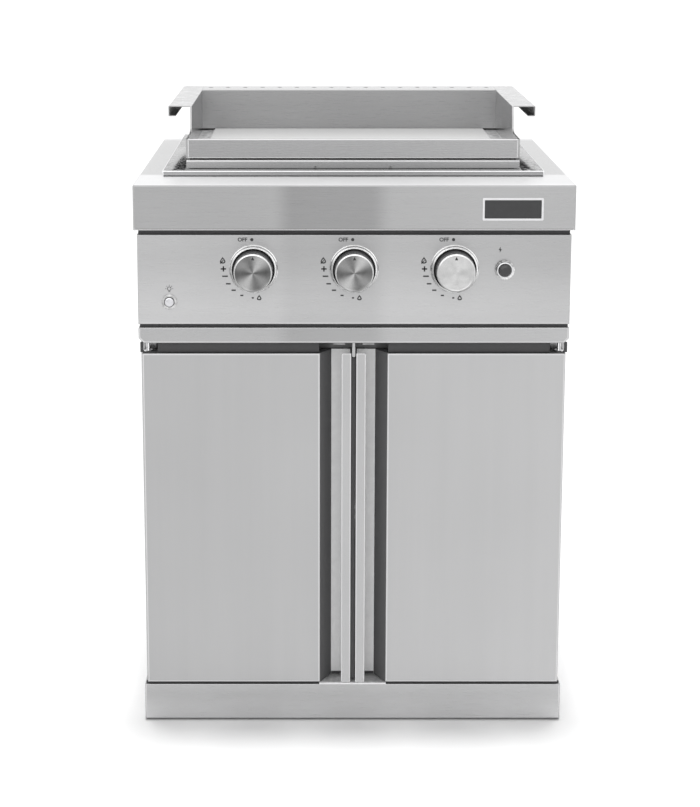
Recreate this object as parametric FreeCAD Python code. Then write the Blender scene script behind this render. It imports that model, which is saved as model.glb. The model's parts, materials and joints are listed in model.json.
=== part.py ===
import FreeCAD, Part
import math
import os

# Outdoor gas griddle station: a floor cabinet with two doors, a control panel, a steel counter
# and a drop-in griddle. Millimetres, X to the right, Y to the back, Z up. The origin is on the
# floor, under the middle of the whole object. Depths are counted back from the counter's front.

V = FreeCAD.Vector
BACKWARD = V(0, 1, 0)
UPWARD = V(0, 0, 1)
RIGHTWARD = V(1, 0, 0)

# Sheet metal and clearances
SHEET = 1.5
LINER_SHEET = 1.0
HAIRLINE = 0.3
BEND_RADIUS = 2.0
RUNNING_FIT = 0.05
CAP_CLEARANCE = 0.4

# Counter
COUNTER_WIDTH = 700.0
COUNTER_DEPTH = 650.0
COUNTER_TOP = 900.0
FASCIA_HEIGHT = 72.0
FASCIA_HEM = 12.0
SIDE_OVERHANG = 5.0
REAR_OVERHANG = 20.0
SKIRT_CLEARANCE = 0.5
CUTOUT_CLEARANCE = 4.5
SEAM_OFFSET = 13.0

# Cabinet
FACE_SETBACK = 5.0
PANEL_RETURN = 25.0
BASE_GAP = 3.0
PLINTH_HEIGHT = 60.5
SHELF_FLANGE = 22.0
VENT_LENGTH = 46.0
VENT_HEIGHT = 7.0
VENT_PITCH = 66.0
VENT_END_MARGIN = 113.0
VENT_ROW_SPACING = 20.0
VENT_ABOVE_PLINTH = 86.5
VENT_BELOW_FASCIA = 68.0

# Control panel and rail
PANEL_TOP_GAP = 8.0
PANEL_HEIGHT = 145.0
RAIL_GAP = 5.5
RAIL_HEIGHT = 25.5
RAIL_CHAMFER = 8.0

# Doors
DOOR_TOP_GAP = 17.0
DOOR_BOTTOM_GAP = 4.0
DOOR_SIDE_MARGIN = 5.0
DOOR_CENTRE_GAP = 7.5
DOOR_DEPTH = 36.0
DOOR_REAR_GAP = 5.0
RECESS_MOUTH = 50.8
RECESS_FLOOR = 32.0
GRIP_LIP = 15.5
GRIP_HEM = 3.0
GRIP_CORNER = 1.8
LINER_MARGIN = 2.0
PIN_INSET = 9.0
PIN_DEPTH = 18.0
PIN_RADIUS = 3.0
PIN_REACH = 22.0
BUSH_RADIUS = 6.0
BUSH_LENGTH = 24.0
WASHER_RADIUS = 7.0
WASHER_THICKNESS = 2.2

# Catch between the doors
TONGUE_CLEARANCE = 1.0
TONGUE_DEPTH = 12.0
TONGUE_SETBACK = 4.0
TONGUE_LENGTH = 24.0
MAGNET_OFFSET = 16.0
MAGNET_WIDTH = 36.0
MAGNET_DEPTH = 14.0
STRIKE_HEIGHT = 22.0
STRIKE_INSET = 1.0
STRIKE_THICKNESS = 1.2

# Badge, left bare
BADGE_WIDTH = 96.5
BADGE_HEIGHT = 36.0
BADGE_END_MARGIN = 51.2
BADGE_TOP_MARGIN = 20.2
BADGE_THICKNESS = 2.6
BADGE_RIM = 3.4
BADGE_PLATE_THICKNESS = 1.2
BADGE_CORNER = 2.0

# Knobs and valves
KNOB_PITCH = 160.0
KNOB_HEIGHT = 90.0
KNOB_RADIUS = 30.5
KNOB_SKIRT_RADIUS = 31.5
KNOB_FRONT = 40.0
KNOB_BACK = 5.5
KNOB_WALL = 2.5
KNOB_FACE_WALL = 4.0
KNOB_SKIRT_HEIGHT = 8.0
KNOB_RIM_BEVEL = 1.6
KNOB_HUB_RADIUS = 9.0
KNOB_PUSH = 3.0
MARK_SIZE = 5.0
MARK_DEPTH = 0.5
MARK_OFFSET = 21.5
BEZEL_WIDTH = 5.4
BEZEL_GAP = 2.1
BEZEL_HEIGHT = 11.0
BEZEL_FLOOR = 1.5
BEZEL_FOOT = 2.2
BEZEL_STEP = 1.6
BEZEL_ROUND = 1.8
BEZEL_EDGE = 0.7
STEM_RADIUS = 4.0
STEM_FLAT = 2.6
STEM_HOLE_CLEARANCE = 4.0
STEM_INSERTION = 34.0
COLLAR_WALL = 2.5
COLLAR_LENGTH = 6.0
COLLAR_GAP = 8.0
VALVE_NOSE_RADIUS = 9.0
VALVE_NOSE_DEPTH = 28.0
VALVE_NOSE_LENGTH = 24.0
VALVE_BODY = 24.0
VALVE_BODY_LENGTH = 42.0
VALVE_SEAT = 23.0
ORIFICE_RADIUS = 4.0
ORIFICE_LENGTH = 16.0
ORIFICE_INSERTION = 6.0

# Gas manifold, its inlet and its hangers
MANIFOLD_RADIUS = 12.5
MANIFOLD_DROP = 24.0
MANIFOLD_OVERHANG = 55.0
SADDLE_WIDTH = 26.0
SADDLE_DEPTH = 30.0
INLET_OFFSET = 35.0
INLET_BOSS_RADIUS = 14.0
INLET_BOSS_LENGTH = 18.0
INLET_THREAD_RADIUS = 10.48
INLET_THREAD_LENGTH = 16.0
INLET_BORE = 5.0
HANGER_THICKNESS = 3.0
HANGER_RIM = 8.0

# Ignitor and light switch
IGNITOR_OFFSET = 79.5
IGNITOR_DROP = 1.0
IGNITOR_NUT_WIDTH = 4.2
IGNITOR_NUT_HEIGHT = 4.0
IGNITOR_RING_WIDTH = 3.0
IGNITOR_RING_HEIGHT = 9.0
IGNITOR_BARREL_RADIUS = 11.8
IGNITOR_BARREL_LENGTH = 55.0
IGNITOR_BUTTON_RADIUS = 10.0
IGNITOR_BUTTON_FRONT = 14.0
IGNITOR_TRAVEL = 4.0
SWITCH_END_MARGIN = 50.4
SWITCH_HEIGHT = 36.6
SWITCH_RING_WIDTH = 3.0
SWITCH_RING_HEIGHT = 3.0
SWITCH_BARREL_RADIUS = 9.5
SWITCH_BARREL_LENGTH = 28.0
SWITCH_BUTTON_RADIUS = 7.5
SWITCH_BUTTON_FRONT = 5.0
SWITCH_TRAVEL = 2.0
BUTTON_FLOOR = 2.0
BUTTON_EDGE = 1.2
RING_EDGE = 1.0

# Griddle tub: the drop-in burner box with its ledge on the counter
DECK_SIDE = 39.0
DECK_FRONT = 104.0
DECK_REAR = 14.0
TUB_LEDGE_HEIGHT = 9.0
TUB_FRONT_LEDGE = 34.0
TUB_REAR_LEDGE = 25.0
TUB_BELOW_KNOBS = 35.0
RUNNER_WIDTH = 20.0

# Griddle top
PLATE_HEIGHT = 20.0
PLATE_THICKNESS = 5.0
GUTTER_WIDTH = 23.5
GUTTER_DEEP = 3.0
GUTTER_START = 12.0
DRAIN_LENGTH = 34.0
DRAIN_WIDTH = 12.0
DRAIN_MARGIN = 5.0
WING_SPREAD = 36.5
GUARD_SHEET = 3.0
GUARD_LAP = 4.0
LIP_SETBACK = 7.0
LIP_HEIGHT = 27.0
LIP_HEM = 7.0
GUARD_HEIGHT = 71.0
GUARD_LOW_LENGTH = 109.0
GUARD_LEAN = 7.0
GUARD_SWEEP = 12.0
FLANGE_DEPTH = 82.0
FLANGE_OVERHANG = 6.0
WING_DROP = 17.5
WING_RETURN = 12.0
HOLE_PITCH = 32.3
HOLE_RADIUS = 3.5
HOLE_REAR_MARGIN = 28.0
HOLE_END_MARGIN = 13.0
FLUE_LENGTH = 40.0
FLUE_HEIGHT = 10.0
FLUE_PITCH = 56.0
FLUE_ABOVE_PLATE = 21.0
FLUE_END_MARGIN = 45.0

# Grease tray, a shallow drawer under the front of the plate
TRAY_SETBACK = 4.0
TRAY_DEPTH = 100.0
TRAY_TOP_GAP = 2.5
TRAY_BEAD = 8.0
TRAY_END_INSET = 1.0
TRAY_CLEARANCE = 0.4
TRAY_SIDE_GAP = 2.0
NOTCH_RADIUS = 3.0
NOTCH_X = 61.5

# Burners and electrodes
BURNER_RADIUS = 15.0
BURNER_WALL = 2.5
BURNER_BORE_LENGTH = 70.0
BURNER_HOLE_CLEARANCE = 0.5
BURNER_DROP = 50.0
BURNER_STRAIGHT = 27.0
BURNER_BEND_LENGTH = 90.0
PORT_COUNT = 12
PORT_LENGTH = 8.0
PORT_WIDTH = 2.0
PORT_CUT = 2.0
PORT_MARGIN = 20.0
ELECTRODE_RADIUS = 4.0
ELECTRODE_TIP_RADIUS = 1.2
ELECTRODE_LENGTH = 60.0
ELECTRODE_TIP_LENGTH = 50.0
ELECTRODE_GAP = 7.0

# Feet and screws
FOOT_RADIUS = 22.0
FOOT_HEIGHT = 9.0
FOOT_STEM_RADIUS = 5.0
FOOT_NUT_RADIUS = 9.5
FOOT_NUT_HEIGHT = 6.0
FOOT_SIDE_INSET = 55.0
FOOT_END_INSET = 45.0
SCREW_HEAD_RADIUS = 5.0
SCREW_HEAD_HEIGHT = 2.4
SCREW_INSET = 12.0
SCREW_COUNT = 5
SCREW_BOTTOM = 40.0
SCREW_TOP_GAP = 48.0

# Cabinet places that follow from the sizes above
Y_FRONT = (KNOB_FRONT - FACE_SETBACK - COUNTER_DEPTH) / 2
COUNTER_UNDERSIDE = COUNTER_TOP - SHEET
FASCIA_BOTTOM = COUNTER_TOP - FASCIA_HEIGHT
SKIRT_HEM = SIDE_OVERHANG - SKIRT_CLEARANCE
CARCASS_HALF = COUNTER_WIDTH / 2 - SIDE_OVERHANG
CARCASS_REAR = COUNTER_DEPTH - REAR_OVERHANG
DOOR_REAR = FACE_SETBACK + DOOR_DEPTH
CARCASS_FRONT = DOOR_REAR + DOOR_REAR_GAP
PANEL_TOP = FASCIA_BOTTOM - PANEL_TOP_GAP
PANEL_BOTTOM = PANEL_TOP - PANEL_HEIGHT
RAIL_TOP = PANEL_BOTTOM - RAIL_GAP
RAIL_BOTTOM = RAIL_TOP - RAIL_HEIGHT
PLINTH_TOP = BASE_GAP + PLINTH_HEIGHT
DOOR_TOP = RAIL_BOTTOM - DOOR_TOP_GAP
DOOR_BOTTOM = PLINTH_TOP + DOOR_BOTTOM_GAP
DOOR_HALF_SPAN = CARCASS_HALF - DOOR_SIDE_MARGIN
DOOR_EDGE = DOOR_CENTRE_GAP / 2
RECESS_OUTER = DOOR_EDGE + RECESS_MOUTH
RECESS_INNER = DOOR_EDGE + RECESS_FLOOR
PIN_X = DOOR_HALF_SPAN - PIN_INSET
PIN_Y_DEPTH = FACE_SETBACK + PIN_DEPTH
STRIKE_FACE = DOOR_REAR + LINER_SHEET + STRIKE_THICKNESS
STRIKE_BOTTOM = DOOR_TOP - LINER_MARGIN - STRIKE_INSET - STRIKE_HEIGHT

# Gas and control places that follow
KNOB_Z = PANEL_BOTTOM + KNOB_HEIGHT
BEZEL_BORE = KNOB_SKIRT_RADIUS + BEZEL_GAP
BEZEL_RADIUS = BEZEL_BORE + BEZEL_WIDTH
STEM_HOLE = STEM_RADIUS + STEM_HOLE_CLEARANCE
STEM_END_DEPTH = VALVE_NOSE_DEPTH + STEM_INSERTION
VALVE_BODY_DEPTH = VALVE_NOSE_DEPTH + VALVE_NOSE_LENGTH
ORIFICE_DEPTH = VALVE_BODY_DEPTH + VALVE_BODY_LENGTH
MANIFOLD_DEPTH = VALVE_BODY_DEPTH + VALVE_SEAT
MANIFOLD_HALF = KNOB_PITCH + MANIFOLD_OVERHANG
MANIFOLD_Z = KNOB_Z - MANIFOLD_DROP
INLET_X = -KNOB_PITCH - INLET_OFFSET
IGNITOR_X = KNOB_PITCH + IGNITOR_OFFSET
IGNITOR_Z = KNOB_Z - IGNITOR_DROP
SWITCH_X = SWITCH_END_MARGIN - CARCASS_HALF
SWITCH_Z = PANEL_BOTTOM + SWITCH_HEIGHT
BADGE_CENTRE_X = COUNTER_WIDTH / 2 - BADGE_END_MARGIN - BADGE_WIDTH / 2
BADGE_CENTRE_Z = COUNTER_TOP - BADGE_TOP_MARGIN - BADGE_HEIGHT / 2

# Griddle places that follow
TUB_HALF_WIDTH = COUNTER_WIDTH / 2 - DECK_SIDE
TUB_REAR = COUNTER_DEPTH - DECK_REAR
TUB_FLOOR = KNOB_Z - TUB_BELOW_KNOBS
TUB_LEDGE_TOP = COUNTER_TOP + TUB_LEDGE_HEIGHT
TUB_WALL_FRONT = DECK_FRONT + TUB_FRONT_LEDGE
TUB_WALL_REAR = TUB_REAR - TUB_REAR_LEDGE
GUARD_HALF = TUB_HALF_WIDTH - WING_SPREAD
GUARD_INNER_HALF = GUARD_HALF - GUARD_SHEET
TUB_WALL_HALF = GUARD_INNER_HALF - SHEET
CUTOUT_HALF = TUB_WALL_HALF + CUTOUT_CLEARANCE
CUTOUT_FRONT = TUB_WALL_FRONT - SEAM_OFFSET
CUTOUT_REAR = TUB_WALL_REAR + CUTOUT_CLEARANCE
PLATE_TOP = TUB_LEDGE_TOP + PLATE_HEIGHT
PLATE_BOTTOM = PLATE_TOP - PLATE_THICKNESS
PLATE_RAISED_HALF = GUARD_INNER_HALF - GUTTER_WIDTH
GUARD_BOTTOM = PLATE_TOP - GUARD_LAP
GRIDDLE_TOP = PLATE_TOP + GUARD_HEIGHT
LIP_DEPTH = TUB_WALL_FRONT + LIP_SETBACK
LIP_TOP = PLATE_TOP + LIP_HEIGHT
GUARD_RISE_TOP_DEPTH = LIP_DEPTH + GUARD_LOW_LENGTH
GUARD_RISE_LOW_DEPTH = GUARD_RISE_TOP_DEPTH - GUARD_LEAN
BACK_FLANGE_REAR = TUB_REAR + FLANGE_OVERHANG
BACK_GUARD_DEPTH = BACK_FLANGE_REAR - FLANGE_DEPTH
FLUE_BOTTOM = PLATE_TOP + FLUE_ABOVE_PLATE
TRAY_FRONT = TUB_WALL_FRONT - TRAY_SETBACK
TRAY_TOP = PLATE_BOTTOM - TRAY_TOP_GAP
TRAY_HALF = GUARD_HALF - TRAY_END_INSET
BURNER_BORE = BURNER_RADIUS - BURNER_WALL
BURNER_Z = COUNTER_TOP - BURNER_DROP
BURNER_MOUTH = ORIFICE_DEPTH + ORIFICE_LENGTH - ORIFICE_INSERTION
BURNER_BEND_START = TUB_WALL_FRONT + BURNER_STRAIGHT
BURNER_BEND_END = BURNER_BEND_START + BURNER_BEND_LENGTH

KNOB_PLACES = (("left", -KNOB_PITCH), ("centre", 0.0), ("right", KNOB_PITCH))
SIDES = (("left", -1), ("right", 1))


def at_depth(depth):
    """The Y of a plane that lies this far behind the counter's front."""
    return Y_FRONT + depth


def block(x_range, depth_range, z_range):
    """A box from its lowest and highest X, depth and Z."""
    (x0, x1), (d0, d1), (z0, z1) = sorted(x_range), depth_range, z_range
    return Part.makeBox(x1 - x0, d1 - d0, z1 - z0, V(x0, at_depth(d0), z0))


def rod(radius, start, direction, length):
    """A cylinder whose start is (x, depth, z)."""
    x, depth, z = start
    return Part.makeCylinder(radius, length, V(x, at_depth(depth), z), direction)


def tube(outer, inner, start, direction, length):
    """A cylinder with a bore right through it."""
    return rod(outer, start, direction, length).cut(rod(inner, start, direction, length))


def front_outline(points, depth_range):
    """A solid going back in Y from an outline of (x, z) points."""
    d0, d1 = depth_range
    corners = [V(x, at_depth(d0), z) for x, z in points]
    return Part.Face(Part.makePolygon(corners + corners[:1])).extrude(V(0, d1 - d0, 0))


def plan_outline(points, z_range):
    """A solid going up in Z from an outline of (x, depth) points."""
    z0, z1 = z_range
    corners = [V(x, at_depth(depth), z0) for x, depth in points]
    return Part.Face(Part.makePolygon(corners + corners[:1])).extrude(V(0, 0, z1 - z0))


def turned(profile, centre_x, centre_z):
    """A turned part about an axis along Y, from (radius, height in front of the panel) points."""
    face_y = at_depth(FACE_SETBACK)
    corners = [V(centre_x + radius, face_y - height, centre_z) for radius, height in profile]
    outline = Part.Face(Part.makePolygon(corners + corners[:1]))
    return outline.revolve(V(centre_x, face_y, centre_z), BACKWARD, 360)


def mirrored(shape):
    """The same shape on the other side of the middle plane."""
    return shape.mirror(V(0, 0, 0), RIGHTWARD)


def on_side(sign, shape):
    """A shape drawn for the right side, put on the side that sign names."""
    return shape if sign > 0 else mirrored(shape)


def fused(shapes):
    """One solid from touching shapes."""
    whole = shapes[0]
    for shape in shapes[1:]:
        whole = whole.fuse(shape)
    return whole.removeSplitter()


def edges_along(shape, direction, keep):
    """Straight edges of a shape along a direction whose middle passes the test."""
    chosen = []
    for edge in shape.Edges:
        if len(edge.Vertexes) == 2:
            run = edge.Vertexes[1].Point.sub(edge.Vertexes[0].Point)
            if run.Length > 1e-6 and abs(run.normalize().dot(direction)) > 0.999:
                if keep(edge.CenterOfMass):
                    chosen.append(edge)
    return chosen


def row_places(span, pitch):
    """The centred places of as many copies as a row of this length holds."""
    count = int(span // pitch) + 1
    return [(index - (count - 1) / 2) * pitch for index in range(count)]


def save(node, *solids):
    """Write one node, of one solid or a group of separate ones."""
    shape = solids[0] if len(solids) == 1 else Part.makeCompound(list(solids))
    shape.exportStep(f"parts/{node}.step")


def counter_shell():
    """The whole counter as one inverted tray, before it is split into its strips."""
    half = COUNTER_WIDTH / 2
    outer = block((-half, half), (0, COUNTER_DEPTH), (FASCIA_BOTTOM, COUNTER_TOP))
    corners = edges_along(outer, UPWARD, lambda middle: True)
    outer = outer.makeFillet(BEND_RADIUS, corners)
    rim = [edge for edge in outer.Edges if edge.CenterOfMass.z > COUNTER_TOP - 1e-3]
    outer = outer.makeFillet(BEND_RADIUS, rim)
    inner = block((-half + SHEET, half - SHEET), (SHEET, COUNTER_DEPTH - SHEET),
                  (FASCIA_BOTTOM + SHEET, COUNTER_UNDERSIDE))
    mouth = block((-half + SKIRT_HEM, half - SKIRT_HEM), (FASCIA_HEM, COUNTER_DEPTH - FASCIA_HEM),
                  (FASCIA_BOTTOM - SHEET, FASCIA_BOTTOM + 2 * SHEET))
    cutout = block((-CUTOUT_HALF, CUTOUT_HALF), (CUTOUT_FRONT, CUTOUT_REAR),
                   (COUNTER_UNDERSIDE - SHEET, COUNTER_TOP + SHEET))
    return outer.cut(inner).cut(mouth).cut(cutout)


def make_counter():
    """Four deck strips that butt together around the griddle."""
    shell = counter_shell()
    half = COUNTER_WIDTH / 2
    heights = (FASCIA_BOTTOM - SHEET, COUNTER_TOP + SHEET)
    front_end = CUTOUT_FRONT - HAIRLINE / 2
    side_start = CUTOUT_FRONT + HAIRLINE / 2
    side_end = CUTOUT_REAR - HAIRLINE
    wide = (-half - SHEET, half + SHEET)
    save("deck_front", shell.common(block(wide, (-SHEET, front_end), heights)))
    save("deck_back", shell.common(block(wide, (CUTOUT_REAR, COUNTER_DEPTH + SHEET), heights)))
    for side, sign in SIDES:
        zone = on_side(sign, block((0, half + SHEET), (side_start, side_end), heights))
        save(f"deck_{side}", shell.common(zone))


def make_badge():
    """The nameplate's place on the fascia: a frame with a bare plate in it."""
    def plate(width, height, depth_range, corner):
        """An upright plate with rounded corners, centred on the badge's place."""
        x0, x1 = BADGE_CENTRE_X - width / 2, BADGE_CENTRE_X + width / 2
        z0, z1 = BADGE_CENTRE_Z - height / 2, BADGE_CENTRE_Z + height / 2
        body = block((x0, x1), depth_range, (z0, z1))
        return body.makeFillet(corner, edges_along(body, BACKWARD, lambda middle: True))

    pocket_floor = -BADGE_THICKNESS + BADGE_PLATE_THICKNESS
    frame = plate(BADGE_WIDTH, BADGE_HEIGHT, (-BADGE_THICKNESS, 0), BADGE_CORNER)
    inner_width, inner_height = BADGE_WIDTH - 2 * BADGE_RIM, BADGE_HEIGHT - 2 * BADGE_RIM
    pocket = plate(inner_width, inner_height, (-BADGE_THICKNESS - SHEET, pocket_floor), BADGE_CORNER / 2)
    save("badge_frame", frame.cut(pocket))
    slack = HAIRLINE
    save("badge_plate", plate(inner_width - slack, inner_height - slack,
                              (-BADGE_THICKNESS + slack, pocket_floor), BADGE_CORNER / 2))


def make_side_panels():
    """Side walls, each a sheet with a return along its front and its rear."""
    height = (BASE_GAP, COUNTER_UNDERSIDE)
    wall = block((CARCASS_HALF - SHEET, CARCASS_HALF), (CARCASS_FRONT, CARCASS_REAR), height)
    inner = CARCASS_HALF - PANEL_RETURN
    front = block((inner, CARCASS_HALF), (CARCASS_FRONT, CARCASS_FRONT + SHEET), height)
    rear = block((inner, CARCASS_HALF), (CARCASS_REAR - SHEET, CARCASS_REAR), height)
    panel = fused([wall, front, rear])
    for side, sign in SIDES:
        save(f"side_panel_{side}", on_side(sign, panel))


def make_back_panel():
    """The rear wall behind the side panels' returns, with rows of air slots for the gas."""
    panel = block((-CARCASS_HALF, CARCASS_HALF), (CARCASS_REAR, CARCASS_REAR + SHEET),
                  (BASE_GAP, COUNTER_UNDERSIDE))
    lowest, highest = PLINTH_TOP + VENT_ABOVE_PLINTH, FASCIA_BOTTOM - VENT_BELOW_FASCIA
    for row in (lowest, lowest + VENT_ROW_SPACING, highest - VENT_ROW_SPACING, highest):
        for x in row_places(2 * (CARCASS_HALF - VENT_END_MARGIN), VENT_PITCH):
            slot = block((x - VENT_LENGTH / 2, x + VENT_LENGTH / 2),
                         (CARCASS_REAR - SHEET, CARCASS_REAR + 2 * SHEET), (row, row + VENT_HEIGHT))
            panel = panel.cut(slot)
    save("back_panel", panel)


def make_bottom_shelf():
    """The cabinet floor, a sheet turned down at its front and its rear."""
    half = CARCASS_HALF - SHEET
    start, end = CARCASS_FRONT + SHEET, CARCASS_REAR - SHEET
    flange = (PLINTH_TOP - SHELF_FLANGE, PLINTH_TOP)
    top = block((-half, half), (start, end), (PLINTH_TOP - SHEET, PLINTH_TOP))
    front = block((-half, half), (start, start + SHEET), flange)
    rear = block((-half, half), (end - SHEET, end), flange)
    save("bottom_shelf", fused([top, front, rear]))


def open_backed_cover(z_range, wall):
    """A full-width front cover with returns, open at its back."""
    z0, z1 = z_range
    outer = block((-CARCASS_HALF, CARCASS_HALF), (FACE_SETBACK, CARCASS_FRONT), (z0, z1))
    edge = edges_along(outer, UPWARD, lambda middle: middle.y < at_depth(FACE_SETBACK) + 1)
    edge += edges_along(outer, RIGHTWARD, lambda middle: middle.y < at_depth(FACE_SETBACK) + 1)
    outer = outer.makeFillet(wall * 0.8, edge)
    inner = block((-CARCASS_HALF + wall, CARCASS_HALF - wall), (FACE_SETBACK + wall, CARCASS_FRONT + wall),
                  (z0 + wall, z1 - wall))
    return outer.cut(inner)


def make_plinth():
    """The kick strip under the doors, open below, drilled for the lower hinge pins."""
    plinth = open_backed_cover((BASE_GAP, PLINTH_TOP), SHEET)
    underside = block((-CARCASS_HALF + SHEET, CARCASS_HALF - SHEET),
                      (FACE_SETBACK + SHEET, CARCASS_FRONT + SHEET), (BASE_GAP - SHEET, BASE_GAP + 2 * SHEET))
    plinth = plinth.cut(underside)
    for _, sign in SIDES:
        hole = rod(PIN_RADIUS, (sign * PIN_X, PIN_Y_DEPTH, PLINTH_TOP - 2 * SHEET), UPWARD, 4 * SHEET)
        plinth = plinth.cut(hole)
    save("plinth", plinth)


def make_front_rail():
    """The rail above the doors, chamfered at its lower outer corners, with tabs for the magnets."""
    def outline(inset):
        """The rail's front outline, drawn in from its edges."""
        half, low, high = CARCASS_HALF - inset, RAIL_BOTTOM + inset, RAIL_TOP - inset
        cut = RAIL_CHAMFER - inset * (2 - math.sqrt(2))
        return [(-half, high), (half, high), (half, low + cut), (half - cut, low),
                (-half + cut, low), (-half, low + cut)]

    rail = front_outline(outline(0), (FACE_SETBACK, CARCASS_FRONT))
    rail = rail.cut(front_outline(outline(SHEET), (FACE_SETBACK + SHEET, CARCASS_FRONT + SHEET)))
    for _, sign in SIDES:
        rail = rail.cut(rod(PIN_RADIUS, (sign * PIN_X, PIN_Y_DEPTH, RAIL_BOTTOM - SHEET), UPWARD, 4 * SHEET))
        tab = block((MAGNET_OFFSET, MAGNET_OFFSET + MAGNET_WIDTH),
                    (CARCASS_FRONT - SHEET, STRIKE_FACE + HAIRLINE + MAGNET_DEPTH),
                    (RAIL_BOTTOM, RAIL_BOTTOM + SHEET))
        rail = rail.fuse(on_side(sign, tab))
    save("front_rail", rail.removeSplitter())


def make_control_panel():
    """The knob panel, drilled for the stems, the ignitor and the light switch."""
    panel = open_backed_cover((PANEL_BOTTOM, PANEL_TOP), SHEET)
    start = FACE_SETBACK - SHEET
    for _, x in KNOB_PLACES:
        panel = panel.cut(rod(STEM_HOLE, (x, start, KNOB_Z), BACKWARD, 4 * SHEET))
    panel = panel.cut(rod(IGNITOR_BARREL_RADIUS, (IGNITOR_X, start, IGNITOR_Z), BACKWARD, 4 * SHEET))
    panel = panel.cut(rod(SWITCH_BARREL_RADIUS, (SWITCH_X, start, SWITCH_Z), BACKWARD, 4 * SHEET))
    save("control_panel", panel)


def make_hinge_pins():
    """Four fixed pins with washers: two under the rail and two on the plinth."""
    pins = []
    for _, sign in SIDES:
        x = sign * PIN_X
        upper_tip, upper_root = DOOR_TOP - PIN_REACH, RAIL_BOTTOM + SHEET
        lower_root, lower_tip = PLINTH_TOP - SHEET, DOOR_BOTTOM + PIN_REACH
        washer_gap = DOOR_BOTTOM - CAP_CLEARANCE - PLINTH_TOP
        upper = rod(PIN_RADIUS, (x, PIN_Y_DEPTH, upper_tip), UPWARD, upper_root - upper_tip)
        upper_washer = rod(WASHER_RADIUS, (x, PIN_Y_DEPTH, DOOR_TOP + CAP_CLEARANCE), UPWARD,
                           WASHER_THICKNESS)
        lower = rod(PIN_RADIUS, (x, PIN_Y_DEPTH, lower_root), UPWARD, lower_tip - lower_root)
        lower_washer = rod(WASHER_RADIUS, (x, PIN_Y_DEPTH, PLINTH_TOP), UPWARD, washer_gap)
        pins += [fused([upper, upper_washer]), fused([lower, lower_washer])]
    save("hinge_pins", *pins)


def door_skin():
    """The right door's outer pan: face, returns and the slanted wall of the grip recess."""
    def outline(inset, rear):
        """The pan's plan outline, drawn in from the outside."""
        run, rise = RECESS_OUTER - RECESS_INNER, DOOR_DEPTH
        shift = inset * math.hypot(run, rise) / rise
        lean = run / rise
        front, outer = FACE_SETBACK + inset, DOOR_HALF_SPAN - inset
        near = RECESS_OUTER + shift - lean * inset
        far = RECESS_OUTER + shift - lean * (rear - FACE_SETBACK)
        return [(near, front), (outer, front), (outer, rear), (far, rear)]

    pan = plan_outline(outline(0, DOOR_REAR), (DOOR_BOTTOM, DOOR_TOP))
    face_y = at_depth(FACE_SETBACK) + 1e-3
    rounds = [edge for edge in pan.Edges if edge.BoundBox.YMax < face_y]
    pan = pan.makeFillet(SHEET * 0.8, rounds)
    hollow = plan_outline(outline(SHEET, DOOR_REAR + SHEET), (DOOR_BOTTOM + SHEET, DOOR_TOP - SHEET))
    pan = pan.cut(hollow)
    for z in (DOOR_BOTTOM, DOOR_TOP):
        pan = pan.cut(rod(BUSH_RADIUS, (PIN_X, PIN_Y_DEPTH, z - 2 * SHEET), UPWARD, 4 * SHEET))
    return pan


def door_handle():
    """The right door's full-height grip: a C profile whose mouth faces the recess."""
    height = (DOOR_BOTTOM, DOOR_TOP)
    lip_end = DOOR_EDGE + GRIP_LIP
    floor = block((DOOR_EDGE, RECESS_INNER), (DOOR_REAR - SHEET, DOOR_REAR), height)
    edge = block((DOOR_EDGE, DOOR_EDGE + SHEET), (FACE_SETBACK, DOOR_REAR), height)
    lip = block((DOOR_EDGE, lip_end), (FACE_SETBACK, FACE_SETBACK + SHEET), height)
    hem = block((lip_end - SHEET, lip_end), (FACE_SETBACK, FACE_SETBACK + GRIP_HEM), height)
    front = fused([lip, hem])
    hem_rear = at_depth(FACE_SETBACK + GRIP_HEM)
    corners = edges_along(front, BACKWARD, lambda middle: middle.x > lip_end - 1e-3 and middle.y < hem_rear)
    front = front.makeFillet(GRIP_CORNER, corners) if corners else front
    return fused([floor, edge, front])


def door_bushes():
    """The right door's two hinge bushes, bored to run on the pins."""
    bore = PIN_RADIUS + RUNNING_FIT
    low = tube(BUSH_RADIUS, bore, (PIN_X, PIN_Y_DEPTH, DOOR_BOTTOM), UPWARD, BUSH_LENGTH)
    high = tube(BUSH_RADIUS, bore, (PIN_X, PIN_Y_DEPTH, DOOR_TOP - BUSH_LENGTH), UPWARD, BUSH_LENGTH)
    return low, high


def make_doors():
    """Two double-skinned doors, mirror images of each other."""
    liner_rear = DOOR_REAR + LINER_SHEET
    liner = block((DOOR_EDGE + LINER_MARGIN, DOOR_HALF_SPAN - LINER_MARGIN), (DOOR_REAR, liner_rear),
                  (DOOR_BOTTOM + LINER_MARGIN, DOOR_TOP - LINER_MARGIN))
    strike = block((MAGNET_OFFSET, MAGNET_OFFSET + MAGNET_WIDTH), (liner_rear, STRIKE_FACE),
                   (STRIKE_BOTTOM, STRIKE_BOTTOM + STRIKE_HEIGHT))
    skin, handle, bushes = door_skin(), door_handle(), door_bushes()
    for side, sign in SIDES:
        save(f"door_skin_{side}", on_side(sign, skin))
        save(f"door_handle_{side}", on_side(sign, handle))
        save(f"door_liner_{side}", on_side(sign, liner))
        save(f"hinge_bushes_{side}", *[on_side(sign, bush) for bush in bushes])
        save(f"strike_plate_{side}", on_side(sign, strike))


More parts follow.
